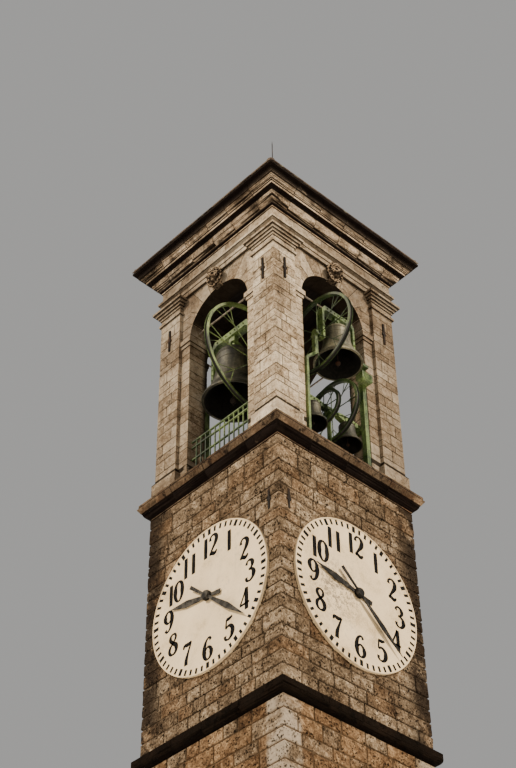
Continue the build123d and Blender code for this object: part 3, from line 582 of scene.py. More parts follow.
def sawn(place, soffit_start, soffit_end, soffit_shade):
    """Sawn limestone whose undersides are painted dark with shade and soot, from the start to the
    end, by the soffit share.
    """
    coarse = place.noise(1.4, 6.0, 0.6)
    fine = place.noise(30.0, 8.0, 0.75)
    tooling = place.noise(10.0, 7.0, 0.74)
    pits = (1.0 - place.cells(30.0).rise(0.12, 0.36)) * place.noise(4.0, 4.0).rise(0.46, 0.6)
    shade = place.read("tone", "Color").axis("X")
    body = (shade * 0.22 + coarse * 0.8 + fine * 0.9 + tooling * 0.9 - 0.91).ramp(
        (0.22, 0.12, 0.08, 0.047), (0.38, 0.345, 0.25, 0.156),
        (0.53, 0.61, 0.48, 0.325), (0.76, 0.9, 0.765, 0.565)
    )
    x, y, height = place.axes()
    crown = height.rise(25.2, 25.5)
    # Grime and painted shade: grey-brown in random patches of grime, and as painted shade below the
    # crown of the entablature and on the piers away from the near corner, most on the right.
    grime_and_shade = (1.0 - (x - y).rise(0.8, 3.1)) * 0.46 + crown * 0.16
    grime_and_shade = grime_and_shade + (x + y).rise(2.0, 3.3) * (1.0 - crown) * 0.16
    grime_and_shade = grime_and_shade + place.noise(0.9, 5.0, 0.65).rise(0.48, 0.66) * 0.22
    cracks = 1.0 - place.noise(3.1, 8.0, 0.8, (1.0, 1.0, 1.8)).rise(0.33, 0.42)
    streak = place.noise(2.4, 5.0, 0.65, (1.0, 1.0, 0.12)).rise(0.5, 0.7)
    foot = (1.0 - height.rise(20.7, 22.4)) * place.noise(1.8, 5.0).rise(0.38, 0.62)
    # painted shade: every face inside the belfry, within the piers, is painted near-black
    inside = 1.0 - place.sum_of("MAXIMUM", x.size(), y.size()).rise(1.16, 1.3)
    # painted shadow and dirt: a dark line just above the plinth, laid on with the dark joints
    ledge_dirt_and_shadow = height.rise(21.112, 21.132) * (1.0 - height.rise(21.225, 21.25))
    ledge_dirt_and_shadow = ledge_dirt_and_shadow * place.noise(6.0, 4.0).rise(0.22, 0.42)
    seam_and_ledge_shadow = (place.read("joint").rise(0.1, 0.75) + ledge_dirt_and_shadow).rise(0.0, 1.0)
    return body, (
        (grime_and_shade, (0.115, 0.078, 0.048)),
        ((cracks + pits).rise(0.0, 1.0) * 0.8, (0.05, 0.034, 0.022)),
        (streak * 0.5, (0.115, 0.082, 0.056)), (foot * 0.45, (0.13, 0.095, 0.063)),
        # painted shade and soot: faces that look down are painted near-black
        (place.underside(soffit_start, soffit_end) * soffit_shade, soot_and_shade),
        (inside * 0.92, (0.008, 0.006, 0.004)), (seam_and_ledge_shadow * 0.95, (0.012, 0.008, 0.005)),
    ), fine * 0.2 + 0.74, fine * 0.6 + tooling * 0.8 - pits * 0.8 - cracks * 0.5, 0.03


ashlar = finish_named("sawn limestone", sawn, 0.5, 0.9, 0.88, gloss=dull)
vaulted = finish_named("sooted arch limestone", sawn, 0.04, 0.55, 0.97, gloss=dull)
draws = random.Random(40)
pilaster_inner, pilaster_half, belfry_half = 1.095, 1.678, 1.6
pier_foot, pier_top = 21.141, 25.31

piers = copied_node("pier_stones", "corner_piers")
courses = spread(pier_foot, pier_top, 0.235, draws, 0.22)
for height in courses:
    score(piers, (0, 0, height), (0, 0, 1), 0.024, 0.011)
corner_reach = {}
for row, (bottom, top) in enumerate(zip([pier_foot] + courses, courses + [pier_top])):
    for side in (0, 1):
        share = (0.36, 0.62)[(row + side) % 2] + draws.uniform(-0.1, 0.1)
        across = pilaster_inner + share * (pilaster_half - pilaster_inner)
        corner_reach[row, side] = across
        for cut in (-across, across):
            score(
                piers, (cut, cut, 0), (1 - side, side, 0), 0.02, 0.01,
                lambda centre, normal: bottom < centre.z < top
                and abs(normal[1 - side]) > 0.9 and abs(centre[1 - side]) > belfry_half + 0.01
            )


def pier_block(centre, normal):
    row = sum(height < centre.z for height in courses)
    side = 0 if abs(normal.y) > abs(normal.x) else 1
    corner = (row, centre.x > 0, centre.y > 0)
    return corner if abs(centre[side]) > corner_reach[row, side] else corner + (side,)


tone_faces(piers, pier_block, 3)
fitted(piers, ashlar, "corner_piers")

arches = copied_node("arch_stones", "arch_walls")
springing, first_joint, wedge_angle = 24.51, 7.5, 16.5
for side in (0, 1):
    for step in range(11):
        angle = math.radians(first_joint + wedge_angle * step)
        normal = ((1 - side) * math.sin(angle), side * math.sin(angle), -math.cos(angle))
        score(
            arches, (0, 0, springing), normal, 0.016, 0.007,
            lambda centre, normal: abs(centre[1 - side]) > 1.1 and abs(centre[side]) < 0.9
        )


def arch_block(centre, normal):
    side = 0 if abs(centre.y) > abs(centre.x) else 1
    turned = math.degrees(math.atan2(centre.z - springing, centre[side]))
    number = int((turned + (wedge_angle - first_joint)) / wedge_angle)
    return side, centre.x > 0, centre.y > 0, number


tone_faces(arches, arch_block, 4)
fitted(arches, vaulted, "arch_walls")

for name, node, step in (
    ("plinth_stones", "pilaster_plinths", 1.5),
    ("impost_stones", "imposts", 1.5),
    ("capital_stones", "capitals", 0.52),
    ("architrave_stones", "architrave", 0.78),
    ("frieze_stones", "frieze", 0.66),
):
    trimmed(name, node, 1.7, step, 0.012, 0.007, 6, ashlar)

# Cornices and string courses: hard brown stone under the weather, black with soot and painted
# shadow in the hollows and underneath, rusty on the sill and worn pale along the edges that the
# rain keeps clean. The crown cornice is painted darker on its left as shade.
def crusted(place, dark, worn, rust, hollows=(), black=(0.016, 0.011, 0.008)):
    """Moulded stone with a black crust: how dark, worn and rusty, and the hollows painted black
    with shadow and soot.
    """
    x, y, height = place.axes()
    coarse = place.noise(1.7, 6.0, 0.62)
    fine = place.noise(28.0, 8.0, 0.75)
    body = (place.read("tone", "Color").axis("X") * 0.2 + coarse * 1.1 + fine * 1.5 - 0.9).ramp(
        (0.2, 0.08 * worn[0], 0.07 * worn[1], 0.06 * worn[2]),
        (0.46, 0.5 * worn[0], 0.46 * worn[1], 0.42 * worn[2]), (0.74, *worn)
    )
    rusty = place.noise(2.6, 5.0, 0.6, (1.0, 1.0, 0.5)).rise(0.46, 0.66)
    # painted shade: the crust spreads further towards the left of the crown cornice, so that side
    # is darker
    left_side_shade = (0.0 - x - y).rise(0.0, 3.6) * height.rise(26.0, 26.2)
    crust = place.noise(1.05, 6.0, 0.7) + left_side_shade * 0.07
    crust = crust.rise(0.6 - dark * 0.3, 0.76 - dark * 0.3)
    spots = place.noise(6.5, 5.0, 0.7).rise(0.52, 0.66)
    layers = [
        (rusty * rust, (0.2, 0.082, 0.036)), ((crust * 0.75 + spots * 0.35) * 0.9, black),
        # painted shade and soot: faces that look down are painted near-black
        (place.underside(0.62, 0.92) * 0.95, (0.006, 0.004, 0.003)),
    ]
    # painted shadow and soot: black bands at the heights of the hollows in the mouldings
    for low, high in hollows:
        above_band = height.rise(high - 0.006, high + 0.014)
        band = height.rise(low - 0.014, low + 0.006) * (1.0 - above_band)
        band = band * place.noise(3.0, 5.0, 0.7).rise(0.2, 0.36)
        layers.append((band * 0.97, (0.008, 0.005, 0.004)))
    lichen = (1.0 - place.underside(-0.9, -0.5)) * place.noise(4.0, 5.0, 0.7).rise(0.4, 0.6)
    layers.append((lichen * 0.6, (0.17, 0.16, 0.1)))
    layers.append((place.read("joint").rise(0.1, 0.7) * 0.92, (0.01, 0.007, 0.005)))
    relief = coarse * 0.5 + fine * 0.6 + spots * 0.3 - crust * 0.1
    return body, layers, fine * 0.2 + 0.76, relief, 0.045


pale, brown, earthen = (0.76, 0.6, 0.42), (0.46, 0.33, 0.205), (0.44, 0.33, 0.215)
umber, pitch_black = (0.03, 0.019, 0.012), (0.003, 0.002, 0.001)
crown_shaded_hollows = ((26.33, 26.385), (26.578, 26.63), (26.8, 27.0))
sill_shaded_hollows = ((20.33, 20.475), (20.585, 20.62))
for name, node, reach, step, finish in (
    ("crown_cornice", "cornice", 2.0, 0.62,
     ("crown stone", crusted, 0.34, pale, 0.14, crown_shaded_hollows)),
    ("sill_cornice_stones", "sill_cornice", 1.8, 0.85,
     ("sill stone", crusted, 0.78, brown, 0.42, sill_shaded_hollows)),
    ("string_course_stones", "string_course", 1.7, 0.8,
     ("string stone", crusted, 1.05, umber, 0.04, (), pitch_black)),
    ("base_course_stones", "base_course", 1.7, 0.62, ("base stone", crusted, 0.42, earthen, 0.2)),
):
    material = finish_named(*finish, gloss=dull)
    trimmed(name, node, reach, step, 0.02, 0.013, 9, material)

# Keystones: wedge blocks of the same limestone, each carved with a calm mask in a wreath of
# curls. The four are one pattern, cut by hand and set at the crown of each arch.
def press(piece, centre, reach, move):
    """Moves the surface near a point as a thumb moves clay, most at the point itself."""
    shape = bmesh.from_edit_mesh(piece.data)
    for corner in shape.verts:
        share = (corner.co - Vector(centre)).length / reach
        if share < 1.0:
            corner.co += Vector(move) * (1.0 - share * share) ** 2
    bmesh.update_edit_mesh(piece.data)


def note_hollows(piece, depth_of):
    """Writes how deep each point lies in the carving, 0 to 1, under the name 'hollow', which the
    carved stone reads to paint shade in the hollows.
    """
    depths = [min(1.0, max(0.0, depth_of(corner.co))) for corner in piece.data.vertices]
    piece.data.attributes.new("hollow", "FLOAT", "POINT").data.foreach_set("value", depths)


def eased(width, segments=1):
    """Bevels every edge of the piece in edit mode and leaves it."""
    all_chosen()
    ops.mesh.bevel(offset=width, segments=segments)
    let_go()


mask_half = (0.135, 0.115, 0.16)
mask = added("uv_sphere", segments=56, ring_count=36, radius=1.0)
ops.transform.resize(value=mask_half)
ops.object.transform_apply()
edit(mask)
for side in (-1, 1):
    for (across, out, up), reach, (aside, forward, lift) in (
        ((0.052, -0.1, 0.05), 0.06, (0, -0.02, 0.004)),         # brow
        ((0.05, -0.112, 0.018), 0.044, (0, 0.034, 0)),          # eye socket
        ((0.048, -0.094, 0.014), 0.021, (0, -0.02, 0)),         # eyelid
        ((0.066, -0.092, -0.038), 0.06, (0.004, -0.018, 0)),    # cheek
        ((0.018, -0.118, -0.04), 0.022, (0.004, -0.01, 0)),     # nostril
    ):
        press(mask, (side * across, out, up), reach, (side * aside, forward, lift))
for centre, reach, move in (
    ((0, -0.112, 0.02), 0.034, (0, -0.022, 0)),                 # bridge of the nose
    ((0, -0.116, -0.014), 0.036, (0, -0.036, 0)),               # nose
    ((0, -0.114, -0.034), 0.03, (0, -0.022, -0.004)),           # tip of the nose
    ((0, -0.104, -0.078), 0.03, (0, -0.012, 0)),                # lips
    ((0, -0.116, -0.079), 0.011, (0, 0.012, 0)),                # line between the lips
    ((0, -0.08, -0.13), 0.05, (0, -0.022, -0.006)),             # chin
    ((0, -0.085, 0.12), 0.08, (0, 0.016, 0)),                   # forehead
):
    press(mask, centre, reach, move)
let_go()
note_hollows(mask, lambda spot: 7.0 * (
    1.01 - Vector([part / half for part, half in zip(spot, mask_half)]).length
))
for corner in mask.data.vertices:
    corner.co = (0.93 * corner.co.x, 1.12 * corner.co.y, 0.97 * corner.co.z)
wreath = []
draws = random.Random(8)
for number in range(16):
    angle = math.radians(22.5 * number)
    for across, rise, out, size in ((0.17, 0.186, -0.022, 0.056), (0.13, 0.153, -0.084, 0.046)):
        if size < 0.05 and math.sin(angle) < -0.5:
            continue
        curl = added(
            "torus", (across * math.cos(angle), out, 0.004 + rise * math.sin(angle)),
            major_segments=12, minor_segments=8, major_radius=size * 0.6, minor_radius=size * 0.4,
            rotation=(math.radians(90 + draws.uniform(-22, 22)), draws.uniform(-0.4, 0.4), 0)
        )
        ops.object.transform_apply()
        note_hollows(curl, lambda spot: (spot.y - out + 0.006) / 0.014)
        wreath.append(curl)
wedge = added("cube", (0, 0.055, -0.035), size=1.0, scale=(0.26, 0.11, 0.38))
ops.object.transform_apply()
edit(wedge)
chosen(wedge, lambda centre, normal: normal.z < -0.5)
ops.transform.resize(value=(0.72, 1.0, 1.0))
eased(0.012, 2)
head = joined("keystone_head", [mask, wedge] + wreath)
take(head)
ops.transform.rotate(value=math.radians(-9), orient_axis="X", center_override=(0, 0, 0))
ops.transform.translate(value=(0.0, -1.7, 25.545))
ops.object.transform_apply()
heads = joined("keystone_heads", around(head))
edit(heads)
facing_out()
ops.mesh.faces_shade_smooth()


def carved_stone(place):
    grain = place.noise(36.0, 7.0, 0.7)
    body = (grain * 0.5 + place.noise(7.0, 5.0, 0.65) * 0.5).ramp(
        (0.34, 0.1, 0.066, 0.038), (0.48, 0.32, 0.23, 0.145), (0.64, 0.68, 0.53, 0.36)
    )
    chips = place.noise(13.0, 3.0, 0.6).rise(0.5, 0.6) * 0.75
    # painted shade: the carving's hollows and undersides are painted near-black, along with real
    # dark chips
    deep = place.read("hollow").rise(0.0, 0.6) + place.underside(-0.1, 0.75) * 0.85 + chips
    deep = deep.rise(0.1, 1.1) * 0.96
    return body, ((deep, soot_and_shade),), grain * 0.2 + 0.74, grain - chips * 0.6, 0.02


carving = finish_named("carved limestone", carved_stone, gloss=dull)
fitted(heads, carving, "keystones")

# Roof: courses of split stone slabs on a low pyramid, each course lapping the one below,
# with half-round stones along the four hips and a capping stone that holds the rod.
eaves, edge_height, apex_height, flat, rows = 2.15, 26.969, 28.2, 0.06, 9
pitch_across, pitch_up = eaves - flat, apex_height - edge_height
slope = math.hypot(pitch_across, pitch_up)
uphill = Vector((0, pitch_across, pitch_up)) / slope
outward = Vector((0, -uphill.z, uphill.y))
eaves_line = Vector((0, -eaves, edge_height))
draws = random.Random(77)
slabs = added("plane", size=1.0)
for corner, across in zip(slabs.data.vertices, (-eaves, eaves, -flat, flat)):
    corner.co = (across, -abs(across), edge_height if abs(across) == eaves else apex_height)
edit(slabs)
for row in range(1, rows):
    all_chosen()
    parted(eaves_line + uphill * (slope * row / rows), uphill)
for row in range(rows):
    height = edge_height + (row + 0.5) / rows * pitch_up
    reach = eaves - (row + 0.5) / rows * pitch_across
    for cut in spread(-reach, reach, 0.42, draws, 0.2):
        chosen(slabs, lambda centre, normal: abs(centre.z - height) < 0.03)
        parted((cut, 0, 0), (1, 0, 0))
joints_opened(0.004)
shape = bmesh.from_edit_mesh(slabs.data)
for face in shape.faces:
    lift = draws.uniform(0.0, 0.006)
    lowest = min((corner.co - eaves_line).dot(uphill) for corner in face.verts)
    for corner in face.verts:
        low = (corner.co - eaves_line).dot(uphill) < lowest + 0.05
        corner.co += outward * ((0.03 if low else 0.004) + lift) - uphill * (0.018 if low else 0.0)
bmesh.update_edit_mesh(slabs.data)
take(slabs)
for kind, settings in (
    ("SOLIDIFY", {"thickness": 0.022, "offset": -1.0}), ("BEVEL", {"width": 0.004, "segments": 1})
):
    modifier = slabs.modifiers.new(kind, kind)
    for key, value in settings.items():
        setattr(modifier, key, value)
    ops.object.modifier_apply(modifier=modifier.name)
quarters = around(slabs)

ridge = added("cylinder", vertices=14, radius=0.075, depth=0.36)
edit(ridge)
all_chosen()
ops.mesh.bisect(plane_co=(0, -0.015, 0), plane_no=(0, 1, 0), clear_inner=True, use_fill=True)
chosen(ridge, lambda centre, normal: normal.z < -0.9)
ops.transform.resize(value=(1.18, 1.18, 1.0))
eased(0.006)
hip_start = Vector((eaves - 0.06, -eaves + 0.06, edge_height + 0.035))
hip = Vector((flat, -flat, apex_height + 0.01)) - hip_start
along = hip.normalized()
up_here = (Vector((0, 0, 1)) - along * along.z).normalized()
side_here = up_here.cross(along)
hip_stones = []
hip_count = 10
for number in range(hip_count):
    stone = copy_of(ridge)
    place = hip_start + hip * ((number + 0.5) / hip_count)
    for corner in stone.data.vertices:
        x, y, z = corner.co
        corner.co = place + side_here * x + up_here * y + along * z
    hip_stones.append(stone)
bpy.data.objects.remove(ridge)
hips = around(joined("hip_row", hip_stones))
cap = added(
    "cone", (0, 0, apex_height + 0.03), vertices=4, radius1=0.3, radius2=0.05, depth=0.2,
    rotation=(0, 0, math.radians(45))
)
edit(cap)
eased(0.015, 2)
roofing = joined("roof_slabs", quarters + hips + [cap])
tone_islands(roofing, 5)


def split_slab(place):
    grain = place.noise(24.0, 7.0, 0.7)
    body = (place.read("tone", "Color").axis("X") * 0.28 + grain * 0.72).ramp(
        (0.3, 0.02, 0.013, 0.009), (0.5, 0.075, 0.048, 0.031), (0.7, 0.19, 0.135, 0.09)
    )
    lichen = place.noise(5.5, 5.0, 0.7).rise(0.56, 0.66) * 0.5
    return body, ((lichen, (0.34, 0.31, 0.2)),), grain * 0.2 + 0.72, grain, 0.012


slab_finish = finish_named("split stone slab", split_slab)
coat(slab_finish, nodes["roof"])
fitted(roofing, slab_finish)

# Clock faces: white enamelled discs with black numerals and minute marks, each mark and
# figure a thin raised plate. The figures are drawn upright with a broad pen, whose strokes
# are rows of places across, up and the line's width, in hundredths of a figure's height.
pen_strokes = {
    "0": [[(27, 99, 5), (12, 86, 10), (6, 50, 15), (12, 14, 10), (27, 1, 5), (42, 14, 10),
         (48, 50, 15), (42, 86, 10), (27, 99, 5)]],
    "1": [[(27, 100, 12), (27, 50, 13), (27, 0, 12)]],
    "2": [[(7, 74, 10), (9, 90, 6), (25, 99, 6), (43, 86, 12), (42, 64, 14), (24, 34, 8),
         (4, 5, 5)], [(4, 5, 5), (16, 9, 11), (34, 3, 11), (48, 14, 5)]],
    "3": [[(6, 80, 9), (13, 95, 5), (28, 97, 7), (41, 80, 13), (34, 61, 7), (19, 54, 4)],
         [(19, 54, 4), (38, 49, 8), (47, 28, 15), (36, 6, 8), (19, 1, 5), (6, 10, 8),
         (5, 22, 9)]],
    "4": [[(37, 100, 6), (20, 62, 5), (2, 29, 5)], [(0, 28, 6), (28, 28, 6), (53, 28, 6)],
         [(38, 0, 12), (38, 50, 13), (38, 99, 11)]],
    "5": [[(12, 93, 9), (28, 93, 10), (46, 99, 6)], [(13, 95, 5), (11, 75, 5), (9, 54, 5)],
         [(9, 54, 5), (26, 62, 7), (44, 50, 12), (47, 28, 15), (34, 5, 8), (18, 1, 5), (6, 10, 8),
         (6, 22, 9)]],
    "6": [[(43, 84, 9), (37, 96, 6), (24, 93, 6), (10, 70, 11), (6, 36, 15), (14, 8, 9),
         (27, 1, 5), (42, 10, 9), (47, 30, 14), (38, 51, 8), (25, 56, 5), (12, 44, 6)]],
    "7": [[(4, 80, 5), (10, 93, 9), (30, 92, 12), (50, 98, 6)], [(50, 98, 5), (34, 60, 7),
         (22, 25, 12), (20, 0, 13)]],
    "8": [[(27, 99, 5), (13, 90, 8), (11, 74, 11), (27, 55, 10), (46, 36, 14), (44, 10, 10),
         (27, 1, 5), (10, 10, 9), (8, 32, 10), (27, 55, 5), (42, 74, 8), (41, 90, 7),
         (27, 99, 5)]],
}
# A 9 is a 6 turned upside down.
pen_strokes["9"] = [[(54 - x, 100 - y, width) for x, y, width in pen_strokes["6"][0]]]
figure_height, figure_circle, mark_circle = 0.43, 1.04, 1.372


def pen_figure(name, figures, centre):
    """Figures as one flat plate, drawn with strokes of changing width about a centre."""
    sheet, pen = (bpy.data.curves.new(name + part, "CURVE") for part in ("", "_pen"))
    sheet.dimensions = pen.dimensions = "2D"
    sheet.fill_mode = "BOTH"
    nib = pen.splines.new("POLY")
    nib.points.add(3)
    for point, (x, y) in zip(nib.points, ((-0.5, -0.5), (0.5, -0.5), (0.5, 0.5), (-0.5, 0.5))):
        point.co = (x, y, 0, 1)
    nib.use_cyclic_u = True
    holder = linked(name + "_pen", pen)
    sheet.bevel_mode = "OBJECT"
    sheet.bevel_object = holder
    sheet.use_fill_caps = True
    sheet.resolution_u = 8
    start = centre[0] - 0.54 * figure_height * len(figures) / 2 + 0.028 * (len(figures) - 1)
    for position, figure in enumerate(figures):
        shift = start + position * 0.47 * figure_height
        for stroke in pen_strokes[figure]:
            line = sheet.splines.new("BEZIER")
            line.bezier_points.add(len(stroke) - 1)
            for point, (x, y, width) in zip(line.bezier_points, stroke):
                height = centre[1] + (y / 100 - 0.5) * figure_height
                point.co = (shift + x / 100 * figure_height, height, 0)
                point.radius = 1.6 * (width / 100) * figure_height
                point.handle_left_type = point.handle_right_type = "AUTO"
    drawn = linked(name, sheet)
    take(drawn)
    ops.object.convert(target="MESH")
    bpy.data.objects.remove(holder)
    for corner in drawn.data.vertices:
        corner.co.z = 0.0015 if corner.co.z > 0 else -0.0015
    return drawn


plates = []
for hour in range(1, 13):
    turn = math.radians(90 - 30 * hour)
    centre = (figure_circle * math.cos(turn), figure_circle * math.sin(turn))
    plates.append(pen_figure(f"figure_{hour}", str(hour), centre))
for minute in range(60):
    turn = math.radians(6 * minute)
    plates.append(added(
        "cube", (mark_circle * math.sin(turn), mark_circle * math.cos(turn), 0), size=1.0,
        rotation=(0, 0, -turn), scale=(0.05, 0.102, 0.003) if minute % 5 else (0.07, 0.132, 0.003)
    ))
dial_print = joined("dial_print", plates)
bezel = added("torus", major_segments=120, minor_segments=8, major_radius=1.442, minor_radius=0.014)


def black_enamel(place):
    wear = place.noise(14.0, 5.0, 0.6)
    body = wear.rise(0.45, 0.75).blend((0.004, 0.004, 0.004), (0.018, 0.016, 0.014))
    return body, (), wear * 0.25 + 0.5, wear, 0.002


def white_enamel(place):
    cloud = place.noise(1.6, 6.0, 0.65)
    speck = place.noise(34.0, 5.0, 0.7)
    drip = place.noise(5.0, 4.0, 0.6, (1.0, 1.0, 0.15)).rise(0.56, 0.8)
    body = (cloud * 0.7 + speck * 0.3).ramp(
        (0.34, 0.56, 0.41, 0.22), (0.46, 0.84, 0.645, 0.385), (0.6, 0.95, 0.75, 0.465)
    )
    scuff = place.noise(9.0, 8.0, 0.8).rise(0.52, 0.62) * place.noise(1.1, 3.0).rise(0.44, 0.62)
    worn_spot = {0: place, 1: (1.75, -0.42, 17.55)}
    away = place.node("ShaderNodeVectorMath", {"operation": "DISTANCE"}, worn_spot, "Value")
    bared = (1.0 - away.rise(0.15, 0.85)) * place.noise(15.0, 8.0, 0.8).rise(0.49, 0.56)
    return body, (
        (drip * 0.3, (0.46, 0.36, 0.25)), (scuff * 0.3, (0.36, 0.28, 0.2)),
        (bared * 0.88, (0.165, 0.125, 0.08)),
    ), cloud * 0.25 + 0.4, speck, 0.002


printed = finish_named("black enamel", black_enamel, gloss=dull)
enamel = finish_named("white enamel", white_enamel, gloss=0.35)
for face, heading, centre in (
    ("front", 0.0, (0, -1.7612, 17.703)), ("side", math.pi / 2, (1.7612, 0.045, 17.683))
):
    for source, name, material, slot in (
        (dial_print, "dial_figures_", printed, "hand_dark"),
        (bezel, "dial_edge_", enamel, "dial_white"),
    ):
        plate = copy_of(source)
        plate.name = name + face
        plate.rotation_euler = (math.pi / 2, 0, heading)
        plate.location = centre
        ops.object.transform_apply()
        fitted(plate, material)
    coat(enamel, nodes["dial_" + face])
for source in (dial_print, bezel):
    bpy.data.objects.remove(source)


def grey_paint(place):
    # painted light: the hands and arbor on the front dial are painted a little lighter than those
    # on the side dial
    wear = place.noise(9.0, 5.0, 0.65) + (0.0 - place.axis("Y")).rise(1.7, 1.72) * 0.1
    body = wear.ramp(
        (0.4, 0.004, 0.004, 0.003), (0.54, 0.016, 0.014, 0.011), (0.68, 0.075, 0.067, 0.054)
    )
    return body, (), wear * 0.3 + 0.46, wear, 0.003


hand_paint = finish_named("grey hand paint", grey_paint, gloss=0.12)
coat(hand_paint, nodes["clock_arbors"], *(
    nodes[f"{hand}_hand_{face}"] for hand in ("hour", "minute") for face in ("front", "side")
))

# Bells: four cast bronze bells with moulded wires at shoulder, waist and lip, turned with
# their loam core and left with a grey-green skin. Each hangs on a low axle, so that it
# swings high, and rides on its yoke.
def lathe(name, profile, origin, axle, segments=72):
    """A closed turned shape from pairs of radius and height along an axle through origin."""
    piece = added("circle", vertices=segments, radius=1.0, fill_type="NOTHING")
    piece.name = name
    edit(piece, "EDGE")
    all_chosen()
    radius, height = profile[0]
    ops.transform.resize(value=(radius, radius, 1.0))
    ops.transform.translate(value=(0, 0, height))
    for before, after in zip(profile, profile[1:]):
        step = (0, 0, after[1] - before[1])
        ops.mesh.extrude_region_move(TRANSFORM_OT_translate={"value": step})
        share = after[0] / before[0]
        ops.transform.resize(value=(share, share, 1.0), center_override=(0, 0, after[1]))
    all_chosen()
    if (Vector(profile[0]) - Vector(profile[-1])).length < 1e-6:
        ops.mesh.remove_doubles(threshold=0.00001)
    else:
        ops.mesh.fill_holes(sides=0)
    facing_out()
    ops.mesh.faces_shade_smooth()
    take(piece)
    quarter = math.pi / 2
    piece.rotation_euler = {"X": (0, quarter, 0), "Y": (-quarter, 0, 0), "Z": (0, 0, 0)}[axle]
    piece.location = origin
    ops.object.transform_apply()
    ops.object.shade_smooth_by_angle(angle=math.radians(34))
    let_go()
    return piece


def cast_bronze(place, painted_light):
    """Weathered bell bronze, made lighter or darker by painted_light: painted light and shade for
    how the bell is lit.
    """
    speck = place.noise(42.0, 6.0, 0.7)
    runs = place.noise(7.0, 5.0, 0.65, (1.0, 1.0, 0.14))
    body = (place.noise(2.6, 6.0, 0.65) * 0.45 + runs * 0.4 + speck * 0.2 + painted_light).ramp(
        (0.38, 0.006, 0.006, 0.003), (0.5, 0.032, 0.03, 0.017),
        (0.61, 0.12, 0.108, 0.064), (0.76, 0.36, 0.325, 0.2)
    )
    verdigris = place.noise(5.5, 6.0, 0.7).rise(0.6, 0.74) * 0.45
    return body, ((verdigris, (0.13, 0.21, 0.12)),), speck * 0.25 + 0.42, speck, 0.006


def green_paint(place, dusty):
    """The flaking green paint: how pale the weather has left it."""
    cloud = place.noise(2.2, 5.0, 0.6)
    fine = place.noise(30.0, 6.0, 0.7)
    body = (cloud * 0.6 + fine * 0.4 + dusty * 0.08).ramp(
        (0.42, 0.004, 0.01, 0.002), (0.53, 0.026, 0.05, 0.01), (0.67, 0.185, 0.26, 0.072)
    )
    bare = (place.noise(11.0, 6.0, 0.75) * 0.7 + cloud * 0.3).rise(0.585, 0.64)
    dust = place.noise(4.0, 5.0, 0.6).rise(0.5, 0.75) * dusty * 0.3
    return body, (
        (bare * 0.85, (0.105, 0.048, 0.022)), (dust, (0.33, 0.34, 0.2))
    ), bare * 0.3 + fine * 0.2 + 0.36, fine * 0.5 - bare, 0.004


def grained(place, noise, stops, roughness, depth, mask=None, over=None):
    """One grain for colour, roughness and relief, and perhaps a colour that a mask lays over."""
    grain = place.noise(*noise)
    layers = ((mask(place), over),) if mask else ()
    return grain.ramp(*stops), layers, grain * 0.2 + roughness, grain, depth


bronze = finish_named("weathered bell bronze", cast_bronze, -0.03, metal=0.35)
lit_bronze = finish_named("washed bell bronze", cast_bronze, 0.08, metal=0.35)
sooted_shaded_bronze = finish_named(
    "sooted bell bronze", grained, (18.0, 6.0, 0.7),
    ((0.4, 0.002, 0.002, 0.001), (0.7, 0.014, 0.012, 0.009)), 0.7, 0.006, gloss=0.15
)
paint, dark_paint, rail_paint = (
    finish_named(name, green_paint, dusty, gloss=0.35) for name, dusty in (
        ("green frame paint", 1.0), ("dark green wheel paint", 0.1), ("green railing paint", 0.4)
    )
)
iron = finish_named(
    "black wrought iron", grained, (26.0, 7.0, 0.72),
    ((0.35, 0.007, 0.006, 0.005), (0.62, 0.03, 0.024, 0.019)), 0.72, 0.004,
    lambda place: place.noise(5.0, 5.0, 0.65).rise(0.5, 0.68) * 0.6, (0.085, 0.034, 0.015),
    gloss=0.12
)

Bell = namedtuple("Bell", "pivot axle mouth drop height wheel_radius wheel_offset yoke_rise")
bells = {
    "a": Bell((-0.153, -1.054, 23.27), "X", 0.6205, 0.612, 1.2903, 1.3192, 0.663, 0.5593),
    "b": Bell((1.618, 0.051, 23.58), "Y", 0.4845, 0.459, 0.901, 0.9146, -0.527, 0.3995),
    "c": Bell((1.394, -0.47005, 22.03), "Y", 0.272, 0.5899, 0.4998, 0.4097, 0.31705, 0.15),
    "d": Bell((1.394, 0.4335, 22.03), "Y", 0.28475, 0.6001, 0.51, 0.7004, -0.3825, 0.15),
}
